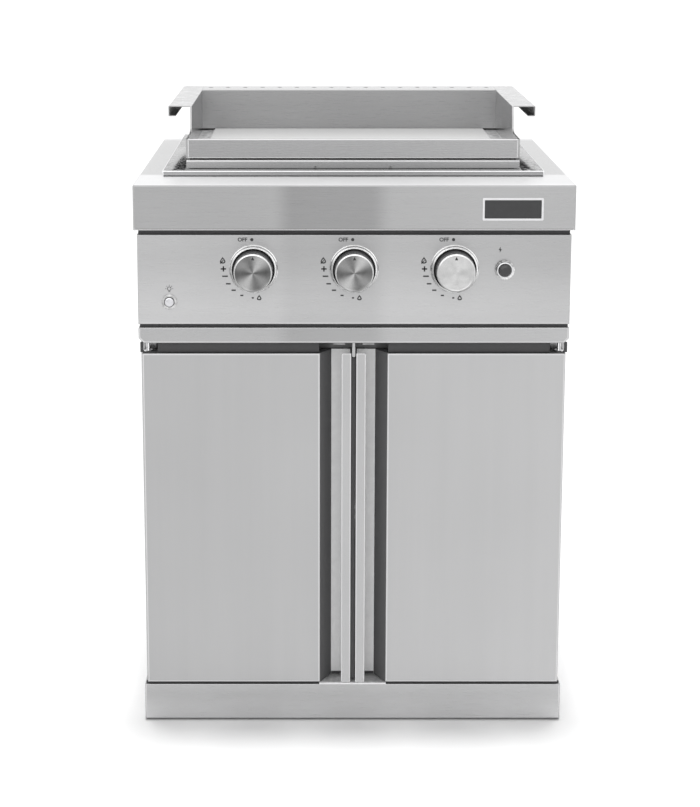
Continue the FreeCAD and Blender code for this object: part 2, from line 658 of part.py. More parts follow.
def make_catch():
    """The tongue between the door edges, and the two magnets that the strike plates meet."""
    half = DOOR_EDGE - TONGUE_CLEARANCE
    start = FACE_SETBACK + TONGUE_SETBACK
    bottom = RAIL_BOTTOM - TONGUE_LENGTH
    straight = block((-half, half), (start, start + TONGUE_DEPTH), (bottom + half, RAIL_BOTTOM))
    nose = rod(half, (0, start, bottom + half), BACKWARD, TONGUE_DEPTH)
    save("catch_tongue", fused([straight, nose]))
    face = STRIKE_FACE + HAIRLINE
    magnet = block((MAGNET_OFFSET, MAGNET_OFFSET + MAGNET_WIDTH), (face, face + MAGNET_DEPTH),
                   (STRIKE_BOTTOM, RAIL_BOTTOM))
    magnet = magnet.makeFillet(BEND_RADIUS, edges_along(magnet, UPWARD, lambda middle: True))
    save("door_magnets", magnet, mirrored(magnet))


def make_knob_bezel(side, x):
    """A chromed ring on the panel with a stepped outside and a thin floor."""
    shoulder = BEZEL_RADIUS - BEZEL_STEP
    ring = turned([(STEM_HOLE, 0), (BEZEL_RADIUS, 0), (BEZEL_RADIUS, BEZEL_FOOT),
                   (shoulder, BEZEL_FOOT + BEZEL_STEP), (shoulder, BEZEL_HEIGHT - BEZEL_ROUND),
                   (shoulder - BEZEL_ROUND, BEZEL_HEIGHT), (BEZEL_BORE + BEZEL_EDGE, BEZEL_HEIGHT),
                   (BEZEL_BORE, BEZEL_HEIGHT - BEZEL_EDGE), (BEZEL_BORE, BEZEL_FLOOR),
                   (STEM_HOLE, BEZEL_FLOOR)], x, KNOB_Z)
    save(f"knob_bezel_{side}", ring)


def stem_with_flat(x, length_range, radius):
    """A round shaft along Y with a flat on top; the range is in depths."""
    d0, d1 = length_range
    shaft = rod(radius, (x, d0, KNOB_Z), BACKWARD, d1 - d0)
    flat = block((x - radius, x + radius), (d0, FACE_SETBACK), (KNOB_Z + STEM_FLAT, KNOB_Z + 2 * radius))
    return shaft.cut(flat)


def make_knob(side, x):
    """The turned knob cup with its hub and inlaid pointer, and the valve stem that it drives."""
    front = KNOB_FRONT
    inner_face = front - KNOB_FACE_WALL
    cup = turned([(0, front), (KNOB_RADIUS - KNOB_RIM_BEVEL, front), (KNOB_RADIUS, front - KNOB_RIM_BEVEL),
                  (KNOB_RADIUS, inner_face), (KNOB_SKIRT_RADIUS, KNOB_BACK + KNOB_SKIRT_HEIGHT),
                  (KNOB_SKIRT_RADIUS, KNOB_BACK), (KNOB_SKIRT_RADIUS - KNOB_WALL, KNOB_BACK),
                  (KNOB_RADIUS - KNOB_WALL, inner_face), (KNOB_HUB_RADIUS, inner_face),
                  (KNOB_HUB_RADIUS, KNOB_BACK), (0, KNOB_BACK)], x, KNOB_Z)
    stem_front = FACE_SETBACK - inner_face + HAIRLINE
    cup = cup.cut(stem_with_flat(x, (stem_front, FACE_SETBACK), STEM_RADIUS))
    tip = (x, KNOB_Z + MARK_OFFSET + MARK_SIZE)
    base_z = KNOB_Z + MARK_OFFSET
    face_depth = FACE_SETBACK - front
    mark = front_outline([tip, (x + MARK_SIZE / 2, base_z), (x - MARK_SIZE / 2, base_z)],
                         (face_depth - SHEET, face_depth + MARK_DEPTH))
    save(f"knob_{side}", cup.cut(mark))
    save(f"valve_stem_{side}", stem_with_flat(x, (stem_front, STEM_END_DEPTH), STEM_RADIUS))


def make_valve(side, x):
    """A brass valve on the manifold, the collar that its stem pushes, and its gas orifice."""
    bore_depth = STEM_END_DEPTH + KNOB_PUSH + 2 * CAP_CLEARANCE
    nose = rod(VALVE_NOSE_RADIUS, (x, VALVE_NOSE_DEPTH, KNOB_Z), BACKWARD, VALVE_NOSE_LENGTH)
    half = VALVE_BODY / 2
    body = block((x - half, x + half), (VALVE_BODY_DEPTH, ORIFICE_DEPTH), (KNOB_Z - half, KNOB_Z + half))
    body = body.makeChamfer(BEND_RADIUS, edges_along(body, BACKWARD, lambda middle: True))
    saddle_top = KNOB_Z - half + BEND_RADIUS
    saddle = block((x - SADDLE_WIDTH / 2, x + SADDLE_WIDTH / 2),
                   (MANIFOLD_DEPTH - SADDLE_DEPTH / 2, MANIFOLD_DEPTH + SADDLE_DEPTH / 2),
                   (MANIFOLD_Z, saddle_top))
    pipe = rod(MANIFOLD_RADIUS, (x - SADDLE_WIDTH, MANIFOLD_DEPTH, MANIFOLD_Z), RIGHTWARD, 2 * SADDLE_WIDTH)
    orifice = rod(ORIFICE_RADIUS, (x, ORIFICE_DEPTH, KNOB_Z), BACKWARD, ORIFICE_LENGTH)
    valve = fused([nose, body, saddle, orifice]).cut(pipe)
    bore = rod(STEM_RADIUS + RUNNING_FIT, (x, VALVE_NOSE_DEPTH - 1, KNOB_Z), BACKWARD,
               bore_depth - VALVE_NOSE_DEPTH + 1)
    save(f"gas_valve_{side}", valve.cut(bore))
    collar_start = (x, VALVE_NOSE_DEPTH - COLLAR_GAP - COLLAR_LENGTH, KNOB_Z)
    collar = tube(STEM_RADIUS + COLLAR_WALL, STEM_RADIUS + RUNNING_FIT, collar_start, BACKWARD, COLLAR_LENGTH)
    save(f"push_collar_{side}", collar)


def manifold_rod(half_length):
    """The gas pipe's cylinder along X, centred on the middle plane."""
    return rod(MANIFOLD_RADIUS, (-half_length, MANIFOLD_DEPTH, MANIFOLD_Z), RIGHTWARD, 2 * half_length)


def make_manifold():
    """The gas pipe under the valves, and the threaded inlet below it for the hose nut."""
    pipe = manifold_rod(MANIFOLD_HALF)
    save("gas_manifold", pipe.makeFillet(BEND_RADIUS, pipe.Edges[:1] + pipe.Edges[2:]))
    boss_bottom = MANIFOLD_Z - INLET_BOSS_LENGTH
    boss = rod(INLET_BOSS_RADIUS, (INLET_X, MANIFOLD_DEPTH, boss_bottom), UPWARD, INLET_BOSS_LENGTH)
    thread = rod(INLET_THREAD_RADIUS, (INLET_X, MANIFOLD_DEPTH, boss_bottom - INLET_THREAD_LENGTH), UPWARD,
                 INLET_THREAD_LENGTH)
    bore = rod(INLET_BORE, (INLET_X, MANIFOLD_DEPTH, boss_bottom - INLET_THREAD_LENGTH), UPWARD,
               INLET_THREAD_LENGTH + INLET_BOSS_LENGTH)
    save("gas_inlet", fused([boss, thread]).cut(bore).cut(pipe))


def push_button(x, z, radius, front, back):
    """A turned button with a softened rim; front and back are heights in front of the panel."""
    return turned([(0, front), (radius - BUTTON_EDGE, front), (radius, front - BUTTON_EDGE),
                   (radius, back), (0, back)], x, z)


def make_ignitor():
    """The spark ignitor: nut, ring and barrel in one housing, and its sprung button."""
    bore = IGNITOR_BUTTON_RADIUS + CAP_CLEARANCE
    ring_radius = IGNITOR_BUTTON_RADIUS + IGNITOR_RING_WIDTH
    nut_radius = IGNITOR_BARREL_RADIUS + IGNITOR_NUT_WIDTH
    seat = IGNITOR_BUTTON_FRONT - IGNITOR_TRAVEL - IGNITOR_RING_HEIGHT - BUTTON_FLOOR
    housing = turned([(0, seat - BUTTON_FLOOR), (0, -IGNITOR_BARREL_LENGTH),
                      (IGNITOR_BARREL_RADIUS, -IGNITOR_BARREL_LENGTH), (IGNITOR_BARREL_RADIUS, 0),
                      (nut_radius, 0), (nut_radius, IGNITOR_NUT_HEIGHT - RING_EDGE),
                      (nut_radius - RING_EDGE, IGNITOR_NUT_HEIGHT), (ring_radius, IGNITOR_NUT_HEIGHT),
                      (ring_radius, IGNITOR_RING_HEIGHT - RING_EDGE),
                      (ring_radius - RING_EDGE, IGNITOR_RING_HEIGHT),
                      (bore, IGNITOR_RING_HEIGHT), (bore, seat - BUTTON_FLOOR)], IGNITOR_X, IGNITOR_Z)
    save("ignitor_housing", housing)
    save("ignitor_button", push_button(IGNITOR_X, IGNITOR_Z, IGNITOR_BUTTON_RADIUS, IGNITOR_BUTTON_FRONT,
                                       seat - BUTTON_FLOOR + IGNITOR_TRAVEL + CAP_CLEARANCE))


def make_light_switch():
    """The light's push switch: a ringed barrel and its sprung button."""
    bore = SWITCH_BUTTON_RADIUS + CAP_CLEARANCE
    floor = -BUTTON_FLOOR - SWITCH_TRAVEL
    ring_radius = SWITCH_BARREL_RADIUS + SWITCH_RING_WIDTH
    housing = turned([(0, floor), (0, -SWITCH_BARREL_LENGTH), (SWITCH_BARREL_RADIUS, -SWITCH_BARREL_LENGTH),
                      (SWITCH_BARREL_RADIUS, 0), (ring_radius, 0),
                      (ring_radius, SWITCH_RING_HEIGHT - RING_EDGE),
                      (ring_radius - RING_EDGE, SWITCH_RING_HEIGHT),
                      (bore + RING_EDGE, SWITCH_RING_HEIGHT), (bore, SWITCH_RING_HEIGHT - RING_EDGE),
                      (bore, floor)], SWITCH_X, SWITCH_Z)
    save("light_switch_housing", housing)
    save("light_switch_button", push_button(SWITCH_X, SWITCH_Z, SWITCH_BUTTON_RADIUS, SWITCH_BUTTON_FRONT,
                                            floor + SWITCH_TRAVEL + CAP_CLEARANCE))


def manifold_hanger():
    """The right hanger: a plate on the tub's front wall that the gas pipe passes through."""
    x = KNOB_PITCH / 2
    reach = MANIFOLD_RADIUS + HANGER_RIM
    plate = block((x - HANGER_THICKNESS / 2, x + HANGER_THICKNESS / 2),
                  (MANIFOLD_DEPTH - reach, TUB_WALL_FRONT), (MANIFOLD_Z - reach, MANIFOLD_Z + reach))
    corners = edges_along(plate, RIGHTWARD, lambda middle: middle.y < at_depth(MANIFOLD_DEPTH))
    return plate.makeFillet(HANGER_RIM, corners).cut(manifold_rod(MANIFOLD_HALF))


def make_tub():
    """The burner box: its ledge, the walls under the plate, the tray's runners and the gas hangers."""
    half = TUB_WALL_HALF
    ledge = block((-TUB_HALF_WIDTH, TUB_HALF_WIDTH), (DECK_FRONT, TUB_REAR), (COUNTER_TOP, TUB_LEDGE_TOP))
    ledge = ledge.makeFillet(BEND_RADIUS, edges_along(ledge, UPWARD, lambda middle: True))
    rim = [edge for edge in ledge.Edges if edge.CenterOfMass.z > TUB_LEDGE_TOP - 1e-3]
    ledge = ledge.makeFillet(SHEET * 0.8, rim)
    hollow = block((-TUB_HALF_WIDTH + SHEET, TUB_HALF_WIDTH - SHEET), (DECK_FRONT + SHEET, TUB_REAR - SHEET),
                   (COUNTER_TOP - SHEET, TUB_LEDGE_TOP - SHEET))
    walls = block((-half, half), (TUB_WALL_FRONT, TUB_WALL_REAR), (TUB_FLOOR, PLATE_BOTTOM))
    front_notch = block((-half - SHEET, half + SHEET),
                        (TUB_WALL_FRONT - SHEET, TRAY_FRONT + TRAY_BEAD + CAP_CLEARANCE),
                        (TUB_LEDGE_TOP, PLATE_BOTTOM + SHEET))
    well = block((-half + SHEET, half - SHEET), (TUB_WALL_FRONT + SHEET, TUB_WALL_REAR - SHEET),
                 (TUB_FLOOR + SHEET, PLATE_BOTTOM + SHEET))
    tub = fused([ledge.cut(hollow), walls]).cut(front_notch).cut(well)
    runner_end = TRAY_FRONT + TRAY_DEPTH
    for _, sign in SIDES:
        runner = block((half - SHEET - RUNNER_WIDTH, half - SHEET), (TUB_WALL_FRONT + SHEET, runner_end),
                       (TUB_LEDGE_TOP - SHEET, TUB_LEDGE_TOP))
        tub = tub.fuse(on_side(sign, runner)).fuse(on_side(sign, manifold_hanger()))
    for _, x in KNOB_PLACES:
        hole_start = (x, TUB_WALL_FRONT - SHEET, KNOB_Z)
        tub = tub.cut(rod(BURNER_RADIUS + BURNER_HOLE_CLEARANCE, hole_start, BACKWARD, 4 * SHEET))
    save("griddle_tub", tub.removeSplitter())


def make_burner(side, x):
    """A bent tube burner: its mouth faces the valve and its far end stands on the rear wall."""
    bend_depth = BURNER_BEND_END - BURNER_BEND_START
    rise = BURNER_Z - KNOB_Z
    slope = V(0, bend_depth, rise)
    inlet = rod(BURNER_RADIUS, (x, BURNER_MOUTH, KNOB_Z), BACKWARD, BURNER_BEND_START - BURNER_MOUTH)
    climb = rod(BURNER_RADIUS, (x, BURNER_BEND_START, KNOB_Z), slope, slope.Length)
    run_length = TUB_WALL_REAR - SHEET - BURNER_BEND_END
    run = rod(BURNER_RADIUS, (x, BURNER_BEND_END, BURNER_Z), BACKWARD, run_length)
    elbows = [Part.makeSphere(BURNER_RADIUS, V(x, at_depth(BURNER_BEND_START), KNOB_Z)),
              Part.makeSphere(BURNER_RADIUS, V(x, at_depth(BURNER_BEND_END), BURNER_Z))]
    burner = fused([inlet, elbows[0], climb, elbows[1], run])
    burner = burner.cut(rod(BURNER_BORE, (x, BURNER_MOUTH - 1, KNOB_Z), BACKWARD, BURNER_BORE_LENGTH + 1))
    port_span = run_length - 2 * PORT_MARGIN
    for index in range(PORT_COUNT):
        depth = BURNER_BEND_END + PORT_MARGIN + port_span * index / (PORT_COUNT - 1)
        port = block((x - PORT_LENGTH / 2, x + PORT_LENGTH / 2),
                     (depth - PORT_WIDTH / 2, depth + PORT_WIDTH / 2),
                     (BURNER_Z + BURNER_RADIUS - PORT_CUT, BURNER_Z + BURNER_RADIUS + PORT_CUT))
        burner = burner.cut(port)
    save(f"burner_{side}", burner)


def make_electrodes():
    """One spark electrode beside each burner, fixed to the tub's front wall."""
    electrodes = []
    start = TUB_WALL_FRONT + SHEET
    for _, x in KNOB_PLACES:
        place = x + BURNER_RADIUS + ELECTRODE_RADIUS + ELECTRODE_GAP
        insulator = rod(ELECTRODE_RADIUS, (place, start, BURNER_Z), BACKWARD, ELECTRODE_LENGTH)
        tip_start = (place, start + ELECTRODE_LENGTH, BURNER_Z)
        tip = rod(ELECTRODE_TIP_RADIUS, tip_start, BACKWARD, ELECTRODE_TIP_LENGTH)
        electrodes.append(fused([insulator, tip]))
    save("spark_electrodes", *electrodes)


def make_plate():
    """The cooking plate: a raised field between two side gutters that drain near the front."""
    front = LIP_DEPTH + SHEET
    rear = BACK_GUARD_DEPTH + GUARD_SHEET
    plate = block((-GUARD_INNER_HALF, GUARD_INNER_HALF), (front, rear), (PLATE_BOTTOM, PLATE_TOP))
    gutter_floor = PLATE_TOP - GUTTER_DEEP
    gutter = block((PLATE_RAISED_HALF, GUARD_INNER_HALF), (front + GUTTER_START, rear),
                   (gutter_floor, PLATE_TOP + SHEET))
    inner_corner = edges_along(gutter, UPWARD, lambda middle: middle.x < PLATE_RAISED_HALF + 1
                               and middle.y < at_depth(front + GUTTER_START + 1))
    gutter = gutter.makeFillet(GUTTER_START, inner_corner)
    drain_start = front + GUTTER_START + DRAIN_MARGIN
    drain = block((PLATE_RAISED_HALF + DRAIN_MARGIN, PLATE_RAISED_HALF + DRAIN_MARGIN + DRAIN_WIDTH),
                  (drain_start, drain_start + DRAIN_LENGTH), (PLATE_BOTTOM - SHEET, PLATE_TOP))
    for _, sign in SIDES:
        plate = plate.cut(on_side(sign, gutter)).cut(on_side(sign, drain))
    save("griddle_plate", plate)


def guard_wing():
    """The right wing: a flange outwards from the side guard's top, turned down and back in."""
    outer, low = GUARD_HALF + WING_SPREAD, GRIDDLE_TOP - WING_DROP
    outline = [(GUARD_HALF, GRIDDLE_TOP), (outer, GRIDDLE_TOP), (outer, low),
               (outer - WING_RETURN, low), (outer - WING_RETURN, low + SHEET),
               (outer - SHEET, low + SHEET), (outer - SHEET, GRIDDLE_TOP - SHEET),
               (GUARD_HALF, GRIDDLE_TOP - SHEET)]
    return front_outline(outline, (GUARD_RISE_TOP_DEPTH, BACK_FLANGE_REAR))


def side_guard():
    """The right splash guard: high at the rear, swept down in a small curve to the front lip."""
    curve_top = LIP_TOP + GUARD_SWEEP
    curve_end = GUARD_RISE_LOW_DEPTH - GUARD_SWEEP
    bulge = GUARD_SWEEP * (1 - math.sqrt(0.5))
    points = [V(0, at_depth(depth), z) for depth, z in
              ((BACK_FLANGE_REAR, GUARD_BOTTOM), (BACK_FLANGE_REAR, GRIDDLE_TOP),
               (GUARD_RISE_TOP_DEPTH, GRIDDLE_TOP), (GUARD_RISE_LOW_DEPTH, curve_top),
               (GUARD_RISE_LOW_DEPTH - bulge, LIP_TOP + bulge), (curve_end, LIP_TOP),
               (LIP_DEPTH, LIP_TOP), (LIP_DEPTH, GUARD_BOTTOM))]
    rear_low, rear_high, rise_top, rise_low, bend, sweep_end, lip_high, lip_low = points
    edges = [Part.makeLine(rear_low, rear_high), Part.makeLine(rear_high, rise_top),
             Part.makeLine(rise_top, rise_low), Part.Arc(rise_low, bend, sweep_end).toShape(),
             Part.makeLine(sweep_end, lip_high), Part.makeLine(lip_high, lip_low),
             Part.makeLine(lip_low, rear_low)]
    wall = Part.Face(Part.Wire(edges)).extrude(V(GUARD_SHEET, 0, 0))
    wall.translate(V(GUARD_INNER_HALF, 0, 0))
    return fused([wall, guard_wing()])


def make_guards():
    """The front lip, the two side guards and the boxed back guard with its holes and flue slots."""
    half = GUARD_INNER_HALF
    lip = block((-half, half), (LIP_DEPTH, LIP_DEPTH + SHEET), (GUARD_BOTTOM, LIP_TOP))
    hem = block((-half, half), (LIP_DEPTH, LIP_DEPTH + LIP_HEM), (LIP_TOP - SHEET, LIP_TOP))
    save("guard_front", fused([lip, hem]))
    guard = side_guard()
    for side, sign in SIDES:
        save(f"guard_{side}", on_side(sign, guard))
    wall = block((-half, half), (BACK_GUARD_DEPTH, BACK_GUARD_DEPTH + SHEET), (PLATE_TOP, GRIDDLE_TOP))
    flange = block((-half, half), (BACK_GUARD_DEPTH, BACK_FLANGE_REAR), (GRIDDLE_TOP - SHEET, GRIDDLE_TOP))
    rear = block((-half, half), (BACK_FLANGE_REAR - SHEET, BACK_FLANGE_REAR), (GUARD_BOTTOM, GRIDDLE_TOP))
    back = fused([wall, flange, rear])
    for x in row_places(2 * (half - HOLE_END_MARGIN), HOLE_PITCH):
        hole_start = (x, BACK_FLANGE_REAR - HOLE_REAR_MARGIN, GRIDDLE_TOP - 2 * SHEET)
        back = back.cut(rod(HOLE_RADIUS, hole_start, UPWARD, 4 * SHEET))
    for x in row_places(2 * (half - FLUE_END_MARGIN), FLUE_PITCH):
        back = back.cut(block((x - FLUE_LENGTH / 2, x + FLUE_LENGTH / 2),
                              (BACK_FLANGE_REAR - 2 * SHEET, BACK_FLANGE_REAR + SHEET),
                              (FLUE_BOTTOM, FLUE_BOTTOM + FLUE_HEIGHT)))
    save("guard_back", back)


def make_grease_tray():
    """A shallow drawer: a wide front strip and a pan that rides on the tub's runners."""
    bottom = TUB_LEDGE_TOP + TRAY_CLEARANCE
    pan_half = TUB_WALL_HALF - SHEET - TRAY_SIDE_GAP
    rear = TRAY_FRONT + TRAY_DEPTH
    strip = block((-TRAY_HALF, TRAY_HALF), (TRAY_FRONT, TRAY_FRONT + SHEET), (bottom, TRAY_TOP))
    bead = block((-TRAY_HALF, TRAY_HALF), (TRAY_FRONT, TRAY_FRONT + TRAY_BEAD), (TRAY_TOP - SHEET, TRAY_TOP))
    pan = block((-pan_half, pan_half), (TRAY_FRONT + SHEET, rear), (bottom, TRAY_TOP))
    hollow = block((-pan_half + SHEET, pan_half - SHEET), (TRAY_FRONT + SHEET, rear - SHEET),
                   (bottom + SHEET, TRAY_TOP + SHEET))
    tray = fused([strip, pan.cut(hollow), bead])
    for _, sign in SIDES:
        notch = rod(NOTCH_RADIUS, (sign * NOTCH_X, TRAY_FRONT - SHEET, bottom), BACKWARD, 2.5 * SHEET)
        tray = tray.cut(notch)
    save("grease_tray", tray)


def make_feet():
    """Four levelling feet with lock nuts, screwed up under the cabinet floor."""
    feet = []
    shelf_underside = PLINTH_TOP - SHEET
    for sign in (-1, 1):
        for depth in (CARCASS_FRONT + FOOT_END_INSET, CARCASS_REAR - FOOT_END_INSET):
            x = sign * (CARCASS_HALF - FOOT_SIDE_INSET)
            pad = rod(FOOT_RADIUS, (x, depth, 0), UPWARD, FOOT_HEIGHT)
            stem = rod(FOOT_STEM_RADIUS, (x, depth, FOOT_HEIGHT), UPWARD, shelf_underside - FOOT_HEIGHT)
            corners = [(x + FOOT_NUT_RADIUS * math.cos(math.radians(60 * turn)),
                        depth + FOOT_NUT_RADIUS * math.sin(math.radians(60 * turn))) for turn in range(6)]
            nut = plan_outline(corners, (shelf_underside - FOOT_NUT_HEIGHT, shelf_underside))
            feet.append(fused([pad, stem, nut]))
    save("levelling_feet", *feet)


def make_screws():
    """Pan-head screws that hold the back panel to the side panels' returns."""
    screws = []
    head_depth = CARCASS_REAR + SHEET
    span = FASCIA_BOTTOM - SCREW_TOP_GAP - SCREW_BOTTOM
    for sign in (-1, 1):
        x = sign * (CARCASS_HALF - SCREW_INSET)
        for index in range(SCREW_COUNT):
            z = SCREW_BOTTOM + span * index / (SCREW_COUNT - 1)
            head = rod(SCREW_HEAD_RADIUS, (x, head_depth, z), BACKWARD, SCREW_HEAD_HEIGHT)
            rim = [edge for edge in head.Edges if edge.BoundBox.YMin > at_depth(head_depth + SHEET)]
            screws.append(head.makeFillet(SCREW_HEAD_HEIGHT / 2, rim))
    save("back_screws", *screws)


def main():
    """Build every node."""
    os.makedirs("parts", exist_ok=True)
    make_counter()
    make_badge()
    make_side_panels()
    make_back_panel()
    make_bottom_shelf()
    make_plinth()
    make_front_rail()
    make_control_panel()
    make_hinge_pins()
    make_doors()
    make_catch()
    make_ignitor()
    make_light_switch()
    make_manifold()
    make_tub()
    make_electrodes()
    make_plate()
    make_guards()
    make_grease_tray()
    make_feet()
    make_screws()
    for side, x in KNOB_PLACES:
        make_knob_bezel(side, x)
        make_knob(side, x)
        make_valve(side, x)
        make_burner(side, x)


main()
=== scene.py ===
"""Outdoor gas griddle station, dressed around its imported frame.

Metres, X to the right, Y to the back, Z up. The origin is on the floor under the middle.
"""

from __future__ import annotations

import functools
import json
import logging
import math
from collections.abc import Callable
from dataclasses import dataclass
from enum import Enum
from typing import NamedTuple

import bmesh
import bpy
from mathutils import Matrix, Vector

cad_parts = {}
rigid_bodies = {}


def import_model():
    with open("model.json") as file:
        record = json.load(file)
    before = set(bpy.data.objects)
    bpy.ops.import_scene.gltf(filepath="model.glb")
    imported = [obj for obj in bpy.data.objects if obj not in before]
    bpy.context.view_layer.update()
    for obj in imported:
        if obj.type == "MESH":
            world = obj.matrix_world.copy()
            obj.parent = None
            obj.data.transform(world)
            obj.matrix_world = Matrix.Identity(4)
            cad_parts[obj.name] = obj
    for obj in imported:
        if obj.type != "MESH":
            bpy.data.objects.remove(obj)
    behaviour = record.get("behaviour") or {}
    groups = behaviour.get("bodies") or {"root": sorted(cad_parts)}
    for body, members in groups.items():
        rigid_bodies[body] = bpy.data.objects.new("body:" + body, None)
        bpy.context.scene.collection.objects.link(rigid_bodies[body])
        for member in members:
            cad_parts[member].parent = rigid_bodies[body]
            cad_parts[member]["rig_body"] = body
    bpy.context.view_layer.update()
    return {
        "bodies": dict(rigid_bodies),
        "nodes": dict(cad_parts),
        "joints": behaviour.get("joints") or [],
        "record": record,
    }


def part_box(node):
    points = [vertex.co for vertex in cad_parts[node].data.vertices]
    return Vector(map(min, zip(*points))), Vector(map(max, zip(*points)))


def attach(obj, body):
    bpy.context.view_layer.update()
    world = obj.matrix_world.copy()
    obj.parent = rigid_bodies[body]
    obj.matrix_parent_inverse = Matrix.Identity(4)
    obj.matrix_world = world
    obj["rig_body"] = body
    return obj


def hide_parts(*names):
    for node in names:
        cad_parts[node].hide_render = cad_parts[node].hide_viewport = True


LOG = logging.getLogger("griddle_station")
MM = 0.001
FULL_TURN = 2 * math.pi
MERGE_GAP = 1e-6
FLAT_ANGLE = math.radians(0.6)
CRISP_ANGLE = math.radians(28)
# How closely a face's normal follows an axis when the face is square to it, and when it about is.
SQUARE = 0.97
NEARLY_SQUARE = 0.9
HALF_WIDTH = 350 * MM
BLACK = (0.0, 0.0, 0.0)
WHITE = (1.0, 1.0, 1.0)
STEEL_TINT = (1.0, 1.0, 1.008)
# The Mix node gives its sockets for numbers and for colours the same names, so they go by number.
NUMBER_INPUTS = (2, 3)
COLOUR_INPUTS = (6, 7)
COLOUR_OUTPUT = 2
SIDES = ("left", "right")
# The tone of each knob's face, and how strong its painted light wedges are; the tones differ from knob to
# knob to paint the reflections that each one shows.
KNOB_FACES = {"left": (0.228, 0.8), "centre": (0.256, 0.8), "right": (0.52, 0.1)}
Point = tuple[float, float]
Spans = tuple[Point, Point, Point]
FaceTest = Callable[[bmesh.types.BMFace], bool]
FaceRule = tuple[bpy.types.Material, FaceTest | None]


class Grain(Enum):
    """The way in which a sheet is brushed; the value is its axis."""

    ACROSS = 0
    BACKWARD = 1
    UPWARD = 2


class Edging(Enum):
    """A part of a sheet with a finish of its own, which paints a highlight or shade line along an edge; the
    value is its material number.
    """

    BEND = 1
    TOP = 2
    SIDES = 3
    FOOT = 4


class Drift(NamedTuple):
    """A slow change of tone between two places along one axis, which paints light or shade."""

    axis: int
    start: float
    end: float
    change: float


class Nodes:
    """Writes the nodes of one tree."""

    def __init__(self, tree: bpy.types.NodeTree) -> None:
        """Work on a tree.

        Args:
            tree: The node tree.
        """
        self.tree = tree

    def add(self, kind: str, **settings: object) -> bpy.types.Node:
        """Add a node.

        Args:
            kind: The node's type name.
            **settings: Its properties.

        Returns:
            The node.
        """
        node = self.tree.nodes.new(kind)
        for name, value in settings.items():
            setattr(node, name, value)
        return node

    def link(self, source: bpy.types.NodeSocket, target: bpy.types.NodeSocket) -> None:
        """Join two sockets."""
        self.tree.links.new(source, target)

    def parts(self, vector: bpy.types.NodeSocket) -> bpy.types.bpy_prop_collection:
        """The sockets of a vector's X, Y and Z.

        Args:
            vector: The vector socket.

        Returns:
            The sockets, by name or number.
        """
        node = self.add("ShaderNodeSeparateXYZ")
        self.link(vector, node.inputs["Vector"])
        return node.outputs

    def spread(self, source: bpy.types.NodeSocket, low: float, high: float, reach: Point = (0.3, 0.7),
               smooth: bool = False) -> bpy.types.NodeSocket:
        """Stretch a factor to a new range.

        Args:
            source: The factor.
            low: What the reach's first end becomes.
            high: What its second end becomes.
            reach: The source's range.
            smooth: Whether the change eases in and out.

        Returns:
            The new value socket.
        """
        node = self.add("ShaderNodeMapRange", interpolation_type="SMOOTHSTEP" if smooth else "LINEAR")
        node.inputs["From Min"].default_value, node.inputs["From Max"].default_value = reach
        node.inputs["To Min"].default_value, node.inputs["To Max"].default_value = low, high
        self.link(source, node.inputs["Value"])
        return node.outputs["Result"]

    def maths(self, operation: str, *values: bpy.types.NodeSocket | float) -> bpy.types.NodeSocket:
        """A Math node.

        Args:
            operation: Its operation.
            *values: Sockets or numbers, in its order.

        Returns:
            The value socket.
        """
        node = self.add("ShaderNodeMath", operation=operation)
        for slot, value in zip(node.inputs, values):
            if isinstance(value, float):
                slot.default_value = value
            else:
                self.link(value, slot)
        return node.outputs["Value"]

    def total(self, values: list[bpy.types.NodeSocket]) -> bpy.types.NodeSocket:
        """The sum of several values."""
        return functools.reduce(lambda so_far, value: self.maths("ADD", so_far, value), values)


